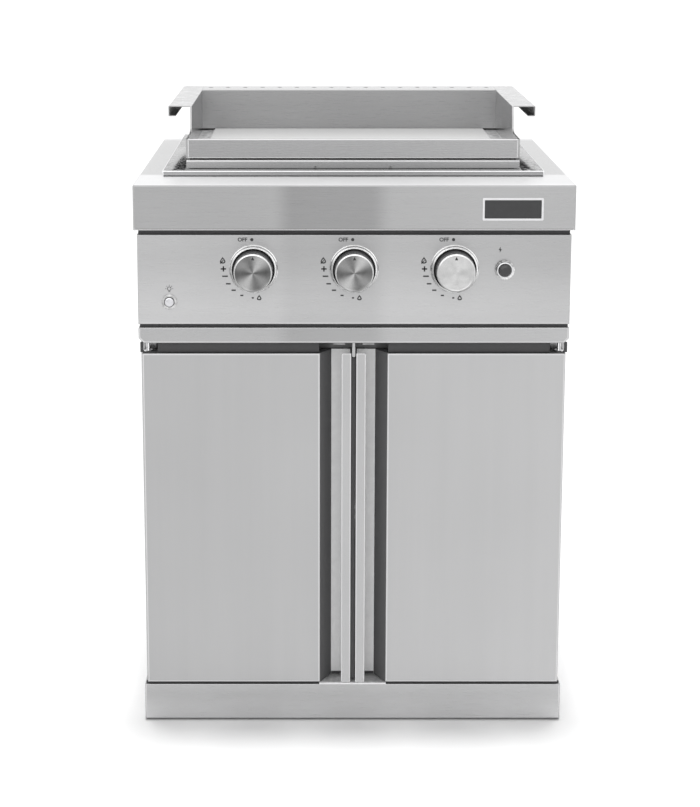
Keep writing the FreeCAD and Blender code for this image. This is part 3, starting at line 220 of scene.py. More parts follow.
class Shader(Nodes):
    """Writes the nodes of one material."""

    def __init__(self, name: str) -> None:
        """Start a material with a Principled surface on Object coordinates.

        Args:
            name: The material's name.
        """
        self.material = bpy.data.materials.new(name)
        self.material.use_nodes = True
        super().__init__(self.material.node_tree)
        self.surface = self.tree.nodes["Principled BSDF"].inputs
        self.place = self.add("ShaderNodeTexCoord").outputs["Object"]

    def fix(self, **values: float | tuple) -> None:
        """Set the surface's own sockets; an underscore in a name stands for a space."""
        for name, value in values.items():
            self.surface[name.replace("_", " ")].default_value = value

    def mapped(self, scale: tuple, centre: tuple = (0.0, 0.0, 0.0)) -> bpy.types.NodeSocket:
        """Object coordinates, centred and then scaled.

        Args:
            scale: Repeats per metre along each axis.
            centre: The point that becomes the pattern's origin.

        Returns:
            The vector socket.
        """
        node = self.add("ShaderNodeMapping")
        node.inputs["Scale"].default_value = scale
        node.inputs["Location"].default_value = [-c * s for c, s in zip(centre, scale)]
        self.link(self.place, node.inputs["Vector"])
        return node.outputs["Vector"]

    def noise(self, scale: tuple, detail: float = 2.0, rough: float = 0.5) -> bpy.types.NodeSocket:
        """A noise pattern.

        Args:
            scale: Repeats per metre along each axis.
            detail: How many finer octaves it has.
            rough: How strong they are.

        Returns:
            The factor socket, mostly between 0.3 and 0.7.
        """
        node = self.add("ShaderNodeTexNoise")
        node.inputs["Scale"].default_value = 1.0
        node.inputs["Detail"].default_value = detail
        node.inputs["Roughness"].default_value = rough
        self.link(self.mapped(scale), node.inputs["Vector"])
        return node.outputs["Fac"]

    def clouds(self, size: float, detail: float = 2.0, rough: float = 0.5) -> bpy.types.NodeSocket:
        """A noise pattern of one size along every axis; the rest is as for noise."""
        return self.noise((1 / size,) * 3, detail, rough)

    def along(self, drift: Drift, first: float, last: float) -> bpy.types.NodeSocket:
        """A value that eases from a first one to a last one between a drift's two places."""
        place = self.parts(self.place)[drift.axis]
        return self.spread(place, first, last, (drift.start, drift.end), smooth=True)

    def mix(self, factor: bpy.types.NodeSocket, first: bpy.types.NodeSocket | tuple,
            second: bpy.types.NodeSocket | tuple, clamp: bool = True) -> bpy.types.NodeSocket:
        """Mix two colours by a factor.

        Args:
            factor: 0 for the first colour and 1 for the second.
            first: A colour, or a socket that gives one.
            second: A colour, or a socket that gives one.
            clamp: Whether the factor is kept between 0 and 1.

        Returns:
            The colour socket.
        """
        node = self.add("ShaderNodeMix", data_type="RGBA", clamp_factor=clamp)
        self.link(factor, node.inputs["Factor"])
        for index, colour in zip(COLOUR_INPUTS, (first, second)):
            if isinstance(colour, tuple):
                node.inputs[index].default_value = (*colour, 1.0)
            else:
                self.link(colour, node.inputs[index])
        return node.outputs[COLOUR_OUTPUT]

    def colour(self, source: bpy.types.NodeSocket) -> None:
        """Let a pattern give the base colour."""
        self.link(source, self.surface["Base Color"])

    def tone(self, change: bpy.types.NodeSocket, level: float, limit: float, tint: tuple = WHITE) -> None:
        """Let a pattern vary the base colour's tone.

        Args:
            change: The change, as a share of the level.
            level: The tone where nothing changes it.
            limit: The largest change that counts.
            tint: The colour at a tone of 1.
        """
        tone = self.spread(change, (1 - limit) * level, (1 + limit) * level, (-limit, limit))
        self.colour(self.mix(tone, BLACK, tint, clamp=False))

    def gloss(self, source: bpy.types.NodeSocket, level: float, change: Point) -> None:
        """Let a pattern vary the roughness.

        Args:
            source: The pattern.
            level: The roughness.
            change: What the pattern's low and high end add to it.
        """
        self.link(self.spread(source, *steps_from(level, change)), self.surface["Roughness"])

    def bump(self, height: bpy.types.NodeSocket, depth: float) -> None:
        """Add relief on top of any that is there.

        Args:
            height: The pattern.
            depth: How deep it is, in metres.
        """
        node = self.add("ShaderNodeBump")
        node.inputs["Distance"].default_value = depth
        self.link(height, node.inputs["Height"])
        normal = self.surface["Normal"]
        if normal.is_linked:
            self.link(normal.links[0].from_socket, node.inputs["Normal"])
        self.link(node.outputs["Normal"], normal)

    def brush(self, way: bpy.types.NodeSocket, anisotropy: float) -> None:
        """Make the surface a metal that is brushed along a direction."""
        self.link(way, self.surface["Tangent"])
        self.fix(Metallic=1.0, Anisotropic=anisotropy, Anisotropic_Rotation=0.25)


@dataclass(frozen=True)
class BrushedSteel:
    """Stainless sheet: fine lines along the grain, soft wide bands, clouds and faint waves.

    Its tone can slope from left to right, sink round a place and drift, most at the drift's start: painted
    reflections of the room and painted shade.
    """

    name: str
    tone: float
    grain: Grain = Grain.ACROSS
    roughness: float = 0.3
    line: float = 0.012
    band: float = 0.012
    cloud: float = 0.025
    anisotropy: float = 0.6
    line_width: float = 0.6 * MM
    line_length: float = 45 * MM
    band_width: float = 22 * MM
    band_length: float = 0.7
    cloud_size: float = 0.22
    wave_depth: float = 0.05 * MM
    line_depth: float = 0.0004 * MM
    gloss_change: Point = (-0.04, 0.04)
    largest_change: float = 0.6
    off_grain: float = 0.03
    # Painted reflections of the room: a slope of tone from left to right and a darker sink round a place.
    painted_tilt: float = 0.0
    painted_dip: float = 0.0
    painted_dip_middle: float = -0.1
    painted_dip_reach: Point = (0.17, 0.28)
    drift: Drift | None = None

    def scale(self, along: float, over: float) -> tuple:
        """Noise repeats per metre for marks of this length and width."""
        return tuple(1 / along if axis == self.grain.value else 1 / over for axis in range(3))

    def make(self) -> bpy.types.Material:
        """Build the material.

        Returns:
            The material.
        """
        shader = Shader(self.name)
        lines = shader.noise(self.scale(self.line_length, self.line_width), detail=3.0, rough=0.6)
        bands = shader.noise(self.scale(self.band_length, self.band_width))
        clouds = shader.clouds(self.cloud_size, detail=1.0)
        across = shader.maths("DIVIDE", shader.parts(shader.place)["X"], HALF_WIDTH)
        from_painted_dip = shader.maths("ABSOLUTE", shader.maths("SUBTRACT", across, self.painted_dip_middle))
        changes = [shader.spread(pattern, -amount, amount)
                   for pattern, amount in ((lines, self.line), (bands, self.band), (clouds, self.cloud))]
        # Painted reflection and shade: the slope, the sink and the drift.
        changes += [shader.maths("MULTIPLY", across, self.painted_tilt),
                    shader.spread(from_painted_dip, -self.painted_dip, 0.0, self.painted_dip_reach, smooth=True)]
        if self.drift:
            changes.append(shader.along(self.drift, self.drift.change, 0.0))
        shader.tone(shader.total(changes), self.tone, self.largest_change, STEEL_TINT)
        shader.gloss(lines, self.roughness, self.gloss_change)
        shader.bump(clouds, self.wave_depth)
        shader.bump(lines, self.line_depth)
        way = shader.add("ShaderNodeCombineXYZ")
        for axis, socket in enumerate(way.inputs):
            socket.default_value = 1.0 if axis == self.grain.value else self.off_grain * (axis + 1)
        shader.brush(way.outputs["Vector"], self.anisotropy)
        return shader.material


@dataclass(frozen=True)
class TurnedMetal:
    """A lathe-turned face: fine rings, and painted light and dark wedges that stand for the reflections the
    rings throw.

    Each lobe gives how many painted light wedges there are, and the direction of one of them in degrees.
    """

    name: str
    tone: float
    centre: tuple
    painted_wedge: float = 0.3
    lobes: tuple[tuple[int, float], ...] = ((2, 62.0), (4, 55.0))
    roughness: float = 0.24
    ring: float = 0.05
    ring_width: float = 0.5 * MM
    ring_depth: float = 0.003 * MM
    blotch: float = 0.08
    blotch_size: float = 11 * MM
    gloss_change: Point = (-0.05, 0.06)
    largest_change: float = 0.8
    anisotropy: float = 0.8

    def make(self) -> bpy.types.Material:
        """Build the material.

        Returns:
            The material.
        """
        shader = Shader(self.name)
        centred = shader.mapped((1.0, 0.0, 1.0), self.centre)
        radius = shader.add("ShaderNodeVectorMath", operation="LENGTH")
        shader.link(centred, radius.inputs[0])
        noise = shader.add("ShaderNodeTexNoise", noise_dimensions="1D")
        noise.inputs["Scale"].default_value = 1 / self.ring_width
        noise.inputs["Detail"].default_value = 3.0
        shader.link(radius.outputs["Value"], noise.inputs["W"])
        rings = noise.outputs["Fac"]
        beside = shader.parts(centred)
        angle = shader.maths("ARCTAN2", beside["Z"], beside["X"])
        changes = [shader.spread(shader.clouds(self.blotch_size), -self.blotch, self.blotch),
                   shader.spread(rings, -self.ring, self.ring)]
        # Painted reflections: light and dark wedges round the centre.
        for count, way in self.lobes:
            turn = shader.maths("MULTIPLY_ADD", angle, float(count), -count * math.radians(way))
            share = self.painted_wedge / len(self.lobes)
            changes.append(shader.maths("MULTIPLY", shader.maths("COSINE", turn), share))
        shader.tone(shader.total(changes), self.tone, self.largest_change)
        shader.gloss(rings, self.roughness, self.gloss_change)
        shader.bump(rings, self.ring_depth)
        circling = shader.add("ShaderNodeVectorMath", operation="CROSS_PRODUCT")
        shader.link(centred, circling.inputs[0])
        circling.inputs[1].default_value = (0.0, 1.0, 0.0)
        shader.brush(circling.outputs["Vector"], self.anisotropy)
        return shader.material


@dataclass(frozen=True)
class Plain:
    """A metal, paint, plastic, rubber or glaze with a faint mottle in colour, gloss and relief."""

    name: str
    colour: tuple
    roughness: float
    metallic: float = 0.0
    coat: float = 0.0
    coat_roughness: float = 0.08
    mottle: float = 0.06
    grain_size: float = 6 * MM
    relief: float = 0.01 * MM
    relief_share: float = 1 / 12
    specular: float = 0.5

    def make(self) -> bpy.types.Material:
        """Build the material.

        Returns:
            The material.
        """
        shader = Shader(self.name)
        mottle = shader.clouds(self.grain_size, detail=4.0, rough=0.6)
        dark = tuple(c * (1 - self.mottle) for c in self.colour)
        light = tuple(min(1.0, c * (1 + self.mottle)) for c in self.colour)
        change = self.mottle * self.roughness
        shader.colour(shader.mix(shader.spread(mottle, 0.0, 1.0), dark, light))
        shader.gloss(mottle, self.roughness, (-change, change))
        shader.bump(shader.clouds(self.grain_size * self.relief_share), self.relief)
        shader.fix(Metallic=self.metallic, Coat_Weight=self.coat, Coat_Roughness=self.coat_roughness,
                   Specular_IOR_Level=self.specular)
        return shader.material


@dataclass(frozen=True)
class HeatTinted:
    """Steel with straw and blue clouds where it has been hot; it can drift, most at the drift's end."""

    name: str
    tone: float
    straw: tuple
    blue: tuple
    cloud_size: float = 0.08
    roughness: float = 0.34
    line: float = 0.05
    line_scale: tuple = (12.0, 900.0, 900.0)
    line_depth: float = 0.0004 * MM
    metallic: float = 1.0
    straw_reach: Point = (0.45, 0.62)
    blue_reach: Point = (0.58, 0.72)
    gloss_change: Point = (-0.05, 0.07)
    drift: Drift | None = None

    def toned(self, change: float) -> tuple:
        """The steel's grey with its tone changed by a share."""
        return (self.tone * (1 + change),) * 3

    def make(self) -> bpy.types.Material:
        """Build the material.

        Returns:
            The material.
        """
        shader = Shader(self.name)
        clouds = shader.clouds(self.cloud_size, detail=3.0, rough=0.6)
        lines = shader.noise(self.line_scale)
        colour = shader.mix(shader.spread(lines, 0.0, 1.0), self.toned(-self.line), self.toned(self.line))
        for tint, reach in ((self.straw, self.straw_reach), (self.blue, self.blue_reach)):
            colour = shader.mix(shader.spread(clouds, 0.0, 1.0, reach), colour, tint)
        if self.drift:
            far = self.toned(self.drift.change)
            colour = shader.mix(shader.along(self.drift, 0.0, 1.0), colour, far)
        shader.colour(colour)
        shader.gloss(clouds, self.roughness, self.gloss_change)
        shader.bump(lines, self.line_depth)
        shader.fix(Metallic=self.metallic)
        return shader.material


class Trim(NamedTuple):
    """The finish of each of a sheet's edgings, in their order, lighter or darker steel that paints highlights
    and shade lines; None keeps the sheet's own.
    """

    bend: bpy.types.Material | None = None
    top: bpy.types.Material | None = None
    sides: bpy.types.Material | None = None
    foot: bpy.types.Material | None = None


class Finishes:
    """Every finish of the object, made once."""

    def __init__(self) -> None:
        """Build the materials."""
        whole = {"painted_dip_middle": 0.0, "painted_dip_reach": (0.1, 1.0)}
        # Painted light and shade along one axis: the deck lighter at its front brim, the plinth lighter near
        # the floor, the panel in painted shade at its top under the apron, and the plate darker towards the
        # back.
        brim = Drift(1, -0.302, -0.286, 0.08)
        low_light = Drift(2, 0.0, 0.05, 0.4)
        shaded_top = Drift(2, 0.79, 0.70, -0.16)
        darker_back = Drift(1, -0.05, 0.25, -0.35)
        cut = {"roughness": 0.4, "anisotropy": 0.0}
        # The stainless tones stand for one steel: lit and shaded copies, lighter on tops and flanges and
        # darker on aprons, guards and splash walls.
        self.deck = BrushedSteel("deck_steel", 0.67, roughness=0.45, painted_dip=0.1, drift=brim, **whole).make()
        self.deck_side = BrushedSteel("deck_side_steel", 0.465, Grain.BACKWARD, 0.3).make()
        self.fascia = BrushedSteel("fascia_steel", 0.372, painted_tilt=0.09, painted_dip=0.23).make()
        self.front = BrushedSteel("front_steel", 0.41, painted_tilt=0.06, painted_dip=0.15).make()
        self.plinth = BrushedSteel("plinth_steel", 0.44, painted_tilt=0.03, drift=low_light).make()
        self.panel = BrushedSteel("panel_steel", 0.472, painted_tilt=-0.01, painted_dip=0.09, drift=shaded_top).make()
        self.side = BrushedSteel("side_steel", 0.48, Grain.UPWARD, 0.32).make()
        self.door = BrushedSteel("door_steel", 0.45, Grain.UPWARD, 0.34, cloud=0.015, painted_tilt=0.06).make()
        self.grip = BrushedSteel("grip_steel", 0.45, Grain.UPWARD, 0.3).make()
        self.guard = BrushedSteel("guard_steel", 0.345, roughness=0.27, painted_tilt=0.12).make()
        self.bar = BrushedSteel("bar_steel", 0.34, roughness=0.27, painted_dip=0.15, **whole).make()
        self.splash = BrushedSteel("splash_steel", 0.315, roughness=0.3).make()
        self.flange = BrushedSteel("flange_steel", 0.52, roughness=0.26).make()
        self.guard_side = BrushedSteel("guard_side_steel", 0.36, Grain.BACKWARD, 0.2, cloud=0.08,
                                       cloud_size=0.03).make()
        # Lighter and darker steel for bends and borders: painted highlights and painted shade lines along
        # edges.
        self.bright_painted_edge = BrushedSteel("bright_painted_edge", 0.85, **cut).make()
        self.edge = BrushedSteel("painted_highlight_edge", 0.62, **cut).make()
        self.soft_painted_edge = BrushedSteel("soft_painted_edge", 0.55, **cut).make()
        self.dim_painted_edge = BrushedSteel("dim_painted_edge", 0.42, **cut).make()
        # Painted mottled reflections for the wings' tops.
        self.painted_reflection = Plain("painted_reflection_steel", (0.5, 0.5, 0.505), 0.25, 1.0, mottle=0.28,
                             grain_size=16 * MM).make()
        self.recess_floor = Plain("recess_floor", (0.95, 0.95, 0.954), 0.5, mottle=0.05,
                                  grain_size=18 * MM).make()
        self.sill = Plain("sill_steel", (0.6, 0.6, 0.604), 0.5, 0.2, mottle=0.25, grain_size=8 * MM).make()
        # Painted shade for the recess walls, the door tops and the strip between the doors.
        self.recess = Plain("recess_painted_shade", (0.12, 0.12, 0.122), 0.8, relief=0.02 * MM).make()
        # The knob's skirt painted dark for the dark that it reflects.
        self.skirt = Plain("knob_skirt_painted_shade", (0.045, 0.045, 0.047), 0.6, specular=0.15).make()
        # Painted shade for the wells round the knobs, the buttons and the ignitor's bore.
        self.well = Plain("ring_well_painted_shade", (0.1, 0.1, 0.102), 0.6).make()
        self.plate = HeatTinted("plate_steel", 0.7, (0.68, 0.677, 0.665), (0.67, 0.67, 0.677), 0.2, 0.5,
                                0.01, metallic=0.1, drift=darker_back).make()
        self.gutter = Plain("gutter_steel", (0.72, 0.72, 0.722), 0.4, 1.0, mottle=0.38,
                            grain_size=9 * MM).make()
        self.burner = HeatTinted("burner_steel", 0.42, (0.4, 0.32, 0.2), (0.2, 0.22, 0.3)).make()
        self.weld = HeatTinted("weld_steel", 0.6, (0.56, 0.555, 0.54), (0.45, 0.455, 0.46), 0.02,
                               0.3).make()
        self.chrome = Plain("chrome", (0.78, 0.78, 0.79), 0.1, 1.0, mottle=0.02).make()
        self.satin = Plain("satin_chrome", (0.7, 0.7, 0.71), 0.28, 1.0, mottle=0.03).make()
        self.zinc = Plain("zinc_steel", (0.62, 0.62, 0.64), 0.3, 1.0, mottle=0.1).make()
        self.brass = Plain("brass", (0.66, 0.5, 0.24), 0.3, 1.0).make()
        self.badge = Plain("badge_black", (0.035, 0.035, 0.037), 0.38, mottle=0.1).make()
        self.button = Plain("black_plastic", (0.03, 0.03, 0.032), 0.16, coat=0.3, mottle=0.03).make()
        self.dark = Plain("dark_plastic", (0.07, 0.07, 0.072), 0.5).make()
        # Dark foam strips set in gaps, behind holes and at the ledge's foot to paint their shade.
        foam = {"roughness": 0.9, "relief": 0.15 * MM, "grain_size": 3 * MM}
        self.gap_shade = Plain("gap_painted_shade", (0.078, 0.078, 0.08), **foam).make()
        self.deep_gap_shade = Plain("deep_gap_painted_shade", (0.19, 0.19, 0.192), **foam).make()
        # Painted shade for the wings' undersides and the tabs under the rail.
        self.wing = Plain("wing_shade", (0.3, 0.3, 0.302), 0.5, 0.2, mottle=0.35, grain_size=8 * MM).make()
        # Painted mottled reflections for the ledge's sides.
        self.ledge = Plain("ledge_painted_reflection", (0.26, 0.26, 0.263), 0.2, 1.0, mottle=1.0,
                           grain_size=10 * MM).make()
        self.rubber = Plain("foot_rubber", (0.05, 0.05, 0.052), 0.75, relief=0.05 * MM).make()
        self.glaze = Plain("electrode_ceramic", (0.8, 0.79, 0.75), 0.2, coat=0.5).make()
        self.print = Plain("dial_print", (0.025, 0.025, 0.026), 0.6, mottle=0.2,
                           grain_size=1.2 * MM).make()
        # Each trim paints a sheet's bends and borders with lighter or darker steel: painted highlights and
        # painted shade lines.
        self.door_trim = Trim(self.dim_painted_edge, self.edge, self.edge, self.soft_painted_edge)
        self.panel_trim = Trim(self.dim_painted_edge, None, None, self.soft_painted_edge)
        self.rail_trim = Trim(None, None, self.edge, self.soft_painted_edge)
        self.plinth_trim = Trim(self.dim_painted_edge, None, self.edge, self.edge)
        self.apron_trim = Trim(self.dim_painted_edge, None, None, self.bright_painted_edge)
        self.ledge_trim = Trim(self.bright_painted_edge, self.bright_painted_edge, None, None)
        self.lip_trim = Trim(self.edge, None, self.edge, self.soft_painted_edge)


@dataclass
class Bench:
    """Where pieces are finished: it knows the frame, hangs each piece on its body and reports it."""

    frame: dict
    bend_width: float = 1.3 * MM
    bend_faces: int = 4
    edge_width: float = 0.35 * MM
    edge_faces: int = 2
    strip_width: float = 3 * MM
    facet_room: float = 1.15
    front_normal: float = 0.99
    flatness: float = 0.005 * MM
    border_width: float = 1.4 * MM

    def piece(self, shape: bmesh.types.BMesh, name: str, body: str, slot: str, finish: bpy.types.Material,
              *others: FaceRule) -> bpy.types.Object:
        """Turn a finished bmesh into a piece that rides on a body.

        Args:
            shape: The shape, in its place; it is freed.
            name: The piece's name.
            body: The body that it rides on.
            slot: The record's material slot that its finish comes from; not used.
            finish: Its material.
            *others: A material and the test for the faces that take it instead; without a test,
                the faces that hold its number already do.

        Returns:
            The piece.
        """
        for face in shape.faces:
            face.smooth = True
            for index, (_, test) in enumerate(others, 1):
                if test and test(face):
                    face.material_index = index
        for edge in shape.edges:
            edge.smooth = not is_crisp(edge)
        made = placed(name, meshed(shape, name))
        for material in (finish, *(material for material, _ in others)):
            made.data.materials.append(material)
        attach(made, body)
        LOG.info("%s on %s: %d faces", name, body, len(made.data.polygons))
        return made

    def strip(self, name: str, spans: Spans, body: str, slot: str, finish: bpy.types.Material,
              rounding: float = 0.4 * MM) -> None:
        """Add a straight strip that rides on a body.

        Args:
            name: The piece's name.
            spans: Where it starts and ends along X, Y and Z.
            body: The body that it rides on.
            slot: The record's material slot that its finish comes from.
            finish: Its material.
            rounding: How far its rounded edges reach.
        """
        self.piece(block(spans, rounding), name, body, slot, finish)

    def mesh_of(self, node: str) -> bpy.types.Mesh:
        """A node's mesh."""
        return self.frame["nodes"][node].data

    def body_of(self, node: str) -> str:
        """The body that a node belongs to."""
        return self.frame["nodes"][node]["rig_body"]

    def slot_of(self, node: str) -> str:
        """The material slot that the record gives a node."""
        parts = self.frame["record"]["subparts"]
        return next(part["material_slot"] for part in parts if part["node"] == node)

    def dress(self, node: str, finish: bpy.types.Material) -> None:
        """Give a node that stays as it is its finish.

        Args:
            node: The node.
            finish: Its material.
        """
        materials = self.mesh_of(node).materials
        materials.clear()
        materials.append(finish)
        LOG.info("%s keeps its shape", node)

    def stand_for(self, node: str, shape: bmesh.types.BMesh, finish: bpy.types.Material,
                  *others: FaceRule) -> bpy.types.Object:
        """Replace a node by a finer shape in the same place.

        Args:
            node: The node.
            shape: The finer shape.
            finish: Its material.
            *others: A material and the test for the faces that take it instead.

        Returns:
            The piece.
        """
        name = f"{node}_finished"
        made = self.piece(shape, name, self.body_of(node), self.slot_of(node), finish, *others)
        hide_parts(node)
        return made

    def soften(self, node: str, finish: bpy.types.Material, *others: FaceRule, trim: Trim = Trim(),
               bend_width: float = bend_width, sink: float = 0.0) -> None:
        """Replace a node by its own shape with its bends rounded, or its edges where it has none.

        Args:
            node: The node.
            finish: Its material.
            *others: A material and the test for the faces that take it instead.
            trim: The finishes of its edgings, which paint highlights and shade lines.
            bend_width: How far each bend reaches from its edge.
            sink: How far the rims of the holes in its top face slope.
        """
        shape = bmesh.new()
        shape.from_mesh(self.mesh_of(node))
        bmesh.ops.remove_doubles(shape, verts=shape.verts, dist=MERGE_GAP)
        bmesh.ops.dissolve_limit(shape, angle_limit=FLAT_ANGLE, verts=shape.verts, edges=shape.edges)
        if sink:
            self.countersink(shape, sink)
        crisp = [edge for edge in shape.edges if is_crisp(edge)]
        bends = [edge for edge in crisp if min(map(breadth, edge.link_faces)) > self.strip_width]
        width, segments = (bend_width, self.bend_faces) if bends else (self.edge_width, self.edge_faces)
        round_off(shape, bends or crisp, width, segments)
        shape.normal_update()
        facet = 2 * width * math.sin(math.pi / 4 / segments)
        for face in shape.faces:
            face.material_index = Edging.BEND.value if breadth(face) < self.facet_room * facet else 0
        if any(trim[1:]):
            self.border(shape)
        edgings = [(material or finish, None) for material in trim]
        made = self.stand_for(node, shape, finish, *edgings, *others)
        made.modifiers.new("even_shading", "WEIGHTED_NORMAL").keep_sharp = True

    def countersink(self, shape: bmesh.types.BMesh, width: float) -> None:
        """Slope the rims of the holes in the top face.

        Args:
            shape: The shape.
            width: How far the slopes reach.
        """
        top = max(vert.co.z for vert in shape.verts) - MERGE_GAP
        rims = [edge for edge in shape.edges if is_crisp(edge) and edge.calc_length() < self.strip_width
                and min(vert.co.z for vert in edge.verts) > top]
        round_off(shape, rims, width, 1)

    def border(self, shape: bmesh.types.BMesh) -> None:
        """Set a narrow border off round the front face, and number its top, sides and foot, which take
        painted highlight and shade lines.

        Args:
            shape: The shape.
        """
        front = min(vert.co.y for vert in shape.verts)
        region = [face for face in shape.faces
                  if face.normal.y < -self.front_normal and middle(face).y < front + self.flatness]
        heights = [vert.co.z for face in region for vert in face.verts]
        top, foot = max(heights) - self.border_width, min(heights) + self.border_width
        strips = bmesh.ops.inset_region(shape, faces=region, thickness=self.border_width,
                                        use_even_offset=True, use_boundary=True)["faces"]
        for face in strips:
            height = middle(face).z
            edging = Edging.TOP if height > top else Edging.FOOT if height < foot else Edging.SIDES
            face.material_index = edging.value
        for vert in {vert for face in strips for vert in face.verts}:
            vert.co.y = front
        shape.normal_update()


def breadth(face: bmesh.types.BMFace) -> float:
    """About how broad a face is, across its long way."""
    return 2 * face.calc_area() / face.calc_perimeter()


def middle(face: bmesh.types.BMFace) -> Vector:
    """The middle of a face."""
    return face.calc_center_median()


def is_top(face: bmesh.types.BMFace) -> bool:
    """Whether a face looks straight up."""
    return face.normal.z > SQUARE


def is_crisp(edge: bmesh.types.BMEdge) -> bool:
    """Whether two faces meet at an edge with a clear angle."""
    return edge.is_manifold and edge.calc_face_angle(0.0) > CRISP_ANGLE


def within(centre: Vector, radius: float) -> FaceTest:
    """A test for the faces that lie within a radius of an axis along Y."""
    return lambda face: math.hypot(middle(face).x - centre.x, middle(face).z - centre.z) < radius


def steps_from(start: float, steps: Point) -> Point:
    """A span whose ends are steps from a place."""
    return start + steps[0], start + steps[1]


def on_both_sides(near: float, far: float) -> dict[str, Point]:
    """The spans along X of a left and a right piece, from how near and far they are."""
    return {"left": (-far, -near), "right": (near, far)}


def placed(name: str, data: bpy.types.ID) -> bpy.types.Object:
    """A new object in the scene.

    Args:
        name: Its name.
        data: Its mesh, camera or lamp.

    Returns:
        The object.
    """
    made = bpy.data.objects.new(name, data)
    bpy.context.scene.collection.objects.link(made)
    return made


def meshed(shape: bmesh.types.BMesh, name: str) -> bpy.types.Mesh:
    """The mesh of a shape, which is freed.

    Args:
        shape: The shape.
        name: The mesh's name.

    Returns:
        The mesh.
    """
    mesh = bpy.data.meshes.new(name)
    shape.to_mesh(mesh)
    shape.free()
    return mesh


def shaped(mesh: bpy.types.Mesh) -> bmesh.types.BMesh:
    """The shape of a mesh, which is removed.

    Args:
        mesh: The mesh.

    Returns:
        The shape.
    """
    shape = bmesh.new()
    shape.from_mesh(mesh)
    bpy.data.meshes.remove(mesh)
    return shape


def round_off(shape: bmesh.types.BMesh, edges: list[bmesh.types.BMEdge], reach: float,
              segments: int = 2) -> None:
    """Round edges off, or slope them with one segment.

    Args:
        shape: The shape.
        edges: Its edges that are rounded.
        reach: How far the rounding reaches from each edge.
        segments: How many faces it has.
    """
    bmesh.ops.bevel(shape, geom=edges, offset=reach, offset_type="OFFSET", segments=segments, profile=0.5,
                    affect="EDGES", material=-1)


def turned(profile: list[Point], centre: Vector, steps: int = 96) -> bmesh.types.BMesh:
    """A turned shape about an axis along Y.

    Args:
        profile: (radius, Y) points, in metres, Y in the frame.
        centre: A point on the axis.
        steps: How many faces go round.

    Returns:
        The closed shape.
    """
    shape = bmesh.new()
    verts = [shape.verts.new((centre.x + radius, y, centre.z)) for radius, y in profile]
    edges = [shape.edges.new(pair) for pair in zip(verts, verts[1:])]
    bmesh.ops.spin(shape, geom=verts + edges, cent=centre, axis=(0, 1, 0), dvec=(0, 0, 0),
                   angle=FULL_TURN, steps=steps, use_merge=True)
    bmesh.ops.remove_doubles(shape, verts=shape.verts, dist=MERGE_GAP)
    bmesh.ops.recalc_face_normals(shape, faces=shape.faces)
    return shape


def rounded(corners: list[tuple[float, float, float]], steps: int = 5) -> list[Point]:
    """An open outline with rounded corners.

    Args:
        corners: (x, y, radius) for each corner; a radius of 0 keeps it sharp.
        steps: How many pieces each rounding has.

    Returns:
        The outline's points.
    """
    points: list[Point] = []
    for index, (x, y, radius) in enumerate(corners):
        if radius == 0 or index in (0, len(corners) - 1):
            points.append((x, y))
            continue
        here = Vector((x, y))
        before = (Vector(corners[index - 1][:2]) - here).normalized()
        after = (Vector(corners[index + 1][:2]) - here).normalized()
        reach = radius / math.tan(before.angle(after) / 2)
        start, end = here + before * reach, here + after * reach
        for step in range(steps + 1):
            t = step / steps
            point = start * (1 - t) ** 2 + here * 2 * t * (1 - t) + end * t ** 2
            points.append((point.x, point.y))
    return points


def block(spans: Spans, rounding: float = 0.4 * MM) -> bmesh.types.BMesh:
    """A bar or strip with rounded edges.

    Args:
        spans: Where it starts and ends along X, Y and Z.
        rounding: How far the rounding reaches.

    Returns:
        The shape.
    """
    shape = bmesh.new()
    low, high = (Vector(corner) for corner in zip(*spans))
    place = Matrix.Translation((low + high) / 2) @ Matrix.Diagonal((*(high - low), 1.0))
    bmesh.ops.create_cube(shape, size=1.0, matrix=place)
    round_off(shape, shape.edges[:], rounding)
    return shape


def joined(shapes: list[bmesh.types.BMesh]) -> bmesh.types.BMesh:
    """Several shapes, which are freed, in one bmesh.

    Args:
        shapes: The shapes.

    Returns:
        The joined shape.
    """
    whole = bmesh.new()
    for shape in shapes:
        carrier = meshed(shape, "carrier")
        whole.from_mesh(carrier)
        bpy.data.meshes.remove(carrier)
    return whole


def carved(shape: bmesh.types.BMesh, tool: bmesh.types.BMesh) -> bmesh.types.BMesh:
    """A shape with another cut out of it.

    Args:
        shape: The shape, which is freed.
        tool: What is cut out, which is freed.

    Returns:
        The cut shape.
    """
    blank, cutter = placed("blank", meshed(shape, "blank")), placed("cutter", meshed(tool, "cutter"))
    cut = blank.modifiers.new("cut", "BOOLEAN")
    cut.operation, cut.solver, cut.object = "DIFFERENCE", "EXACT", cutter
    solved = blank.evaluated_get(bpy.context.evaluated_depsgraph_get())
    result = shaped(bpy.data.meshes.new_from_object(solved))
    for used in (blank.data, cutter.data):
        bpy.data.meshes.remove(used)
    return result


def ring_of_points(radius: float, steps: int, flute: float = 0.0, flutes: int = 0) -> list[Point]:
    """A circle, or with flutes a scalloped one.

    Args:
        radius: Its outer radius.
        steps: How many points it has.
        flute: How deep the flutes are.
        flutes: How many there are.

    Returns:
        The (x, z) points.
    """
    points = []
    for step in range(steps):
        angle = FULL_TURN * step / steps
        reach = radius - flute * (0.5 - 0.5 * math.cos(flutes * angle))
        points.append((reach * math.cos(angle), reach * math.sin(angle)))
    return points


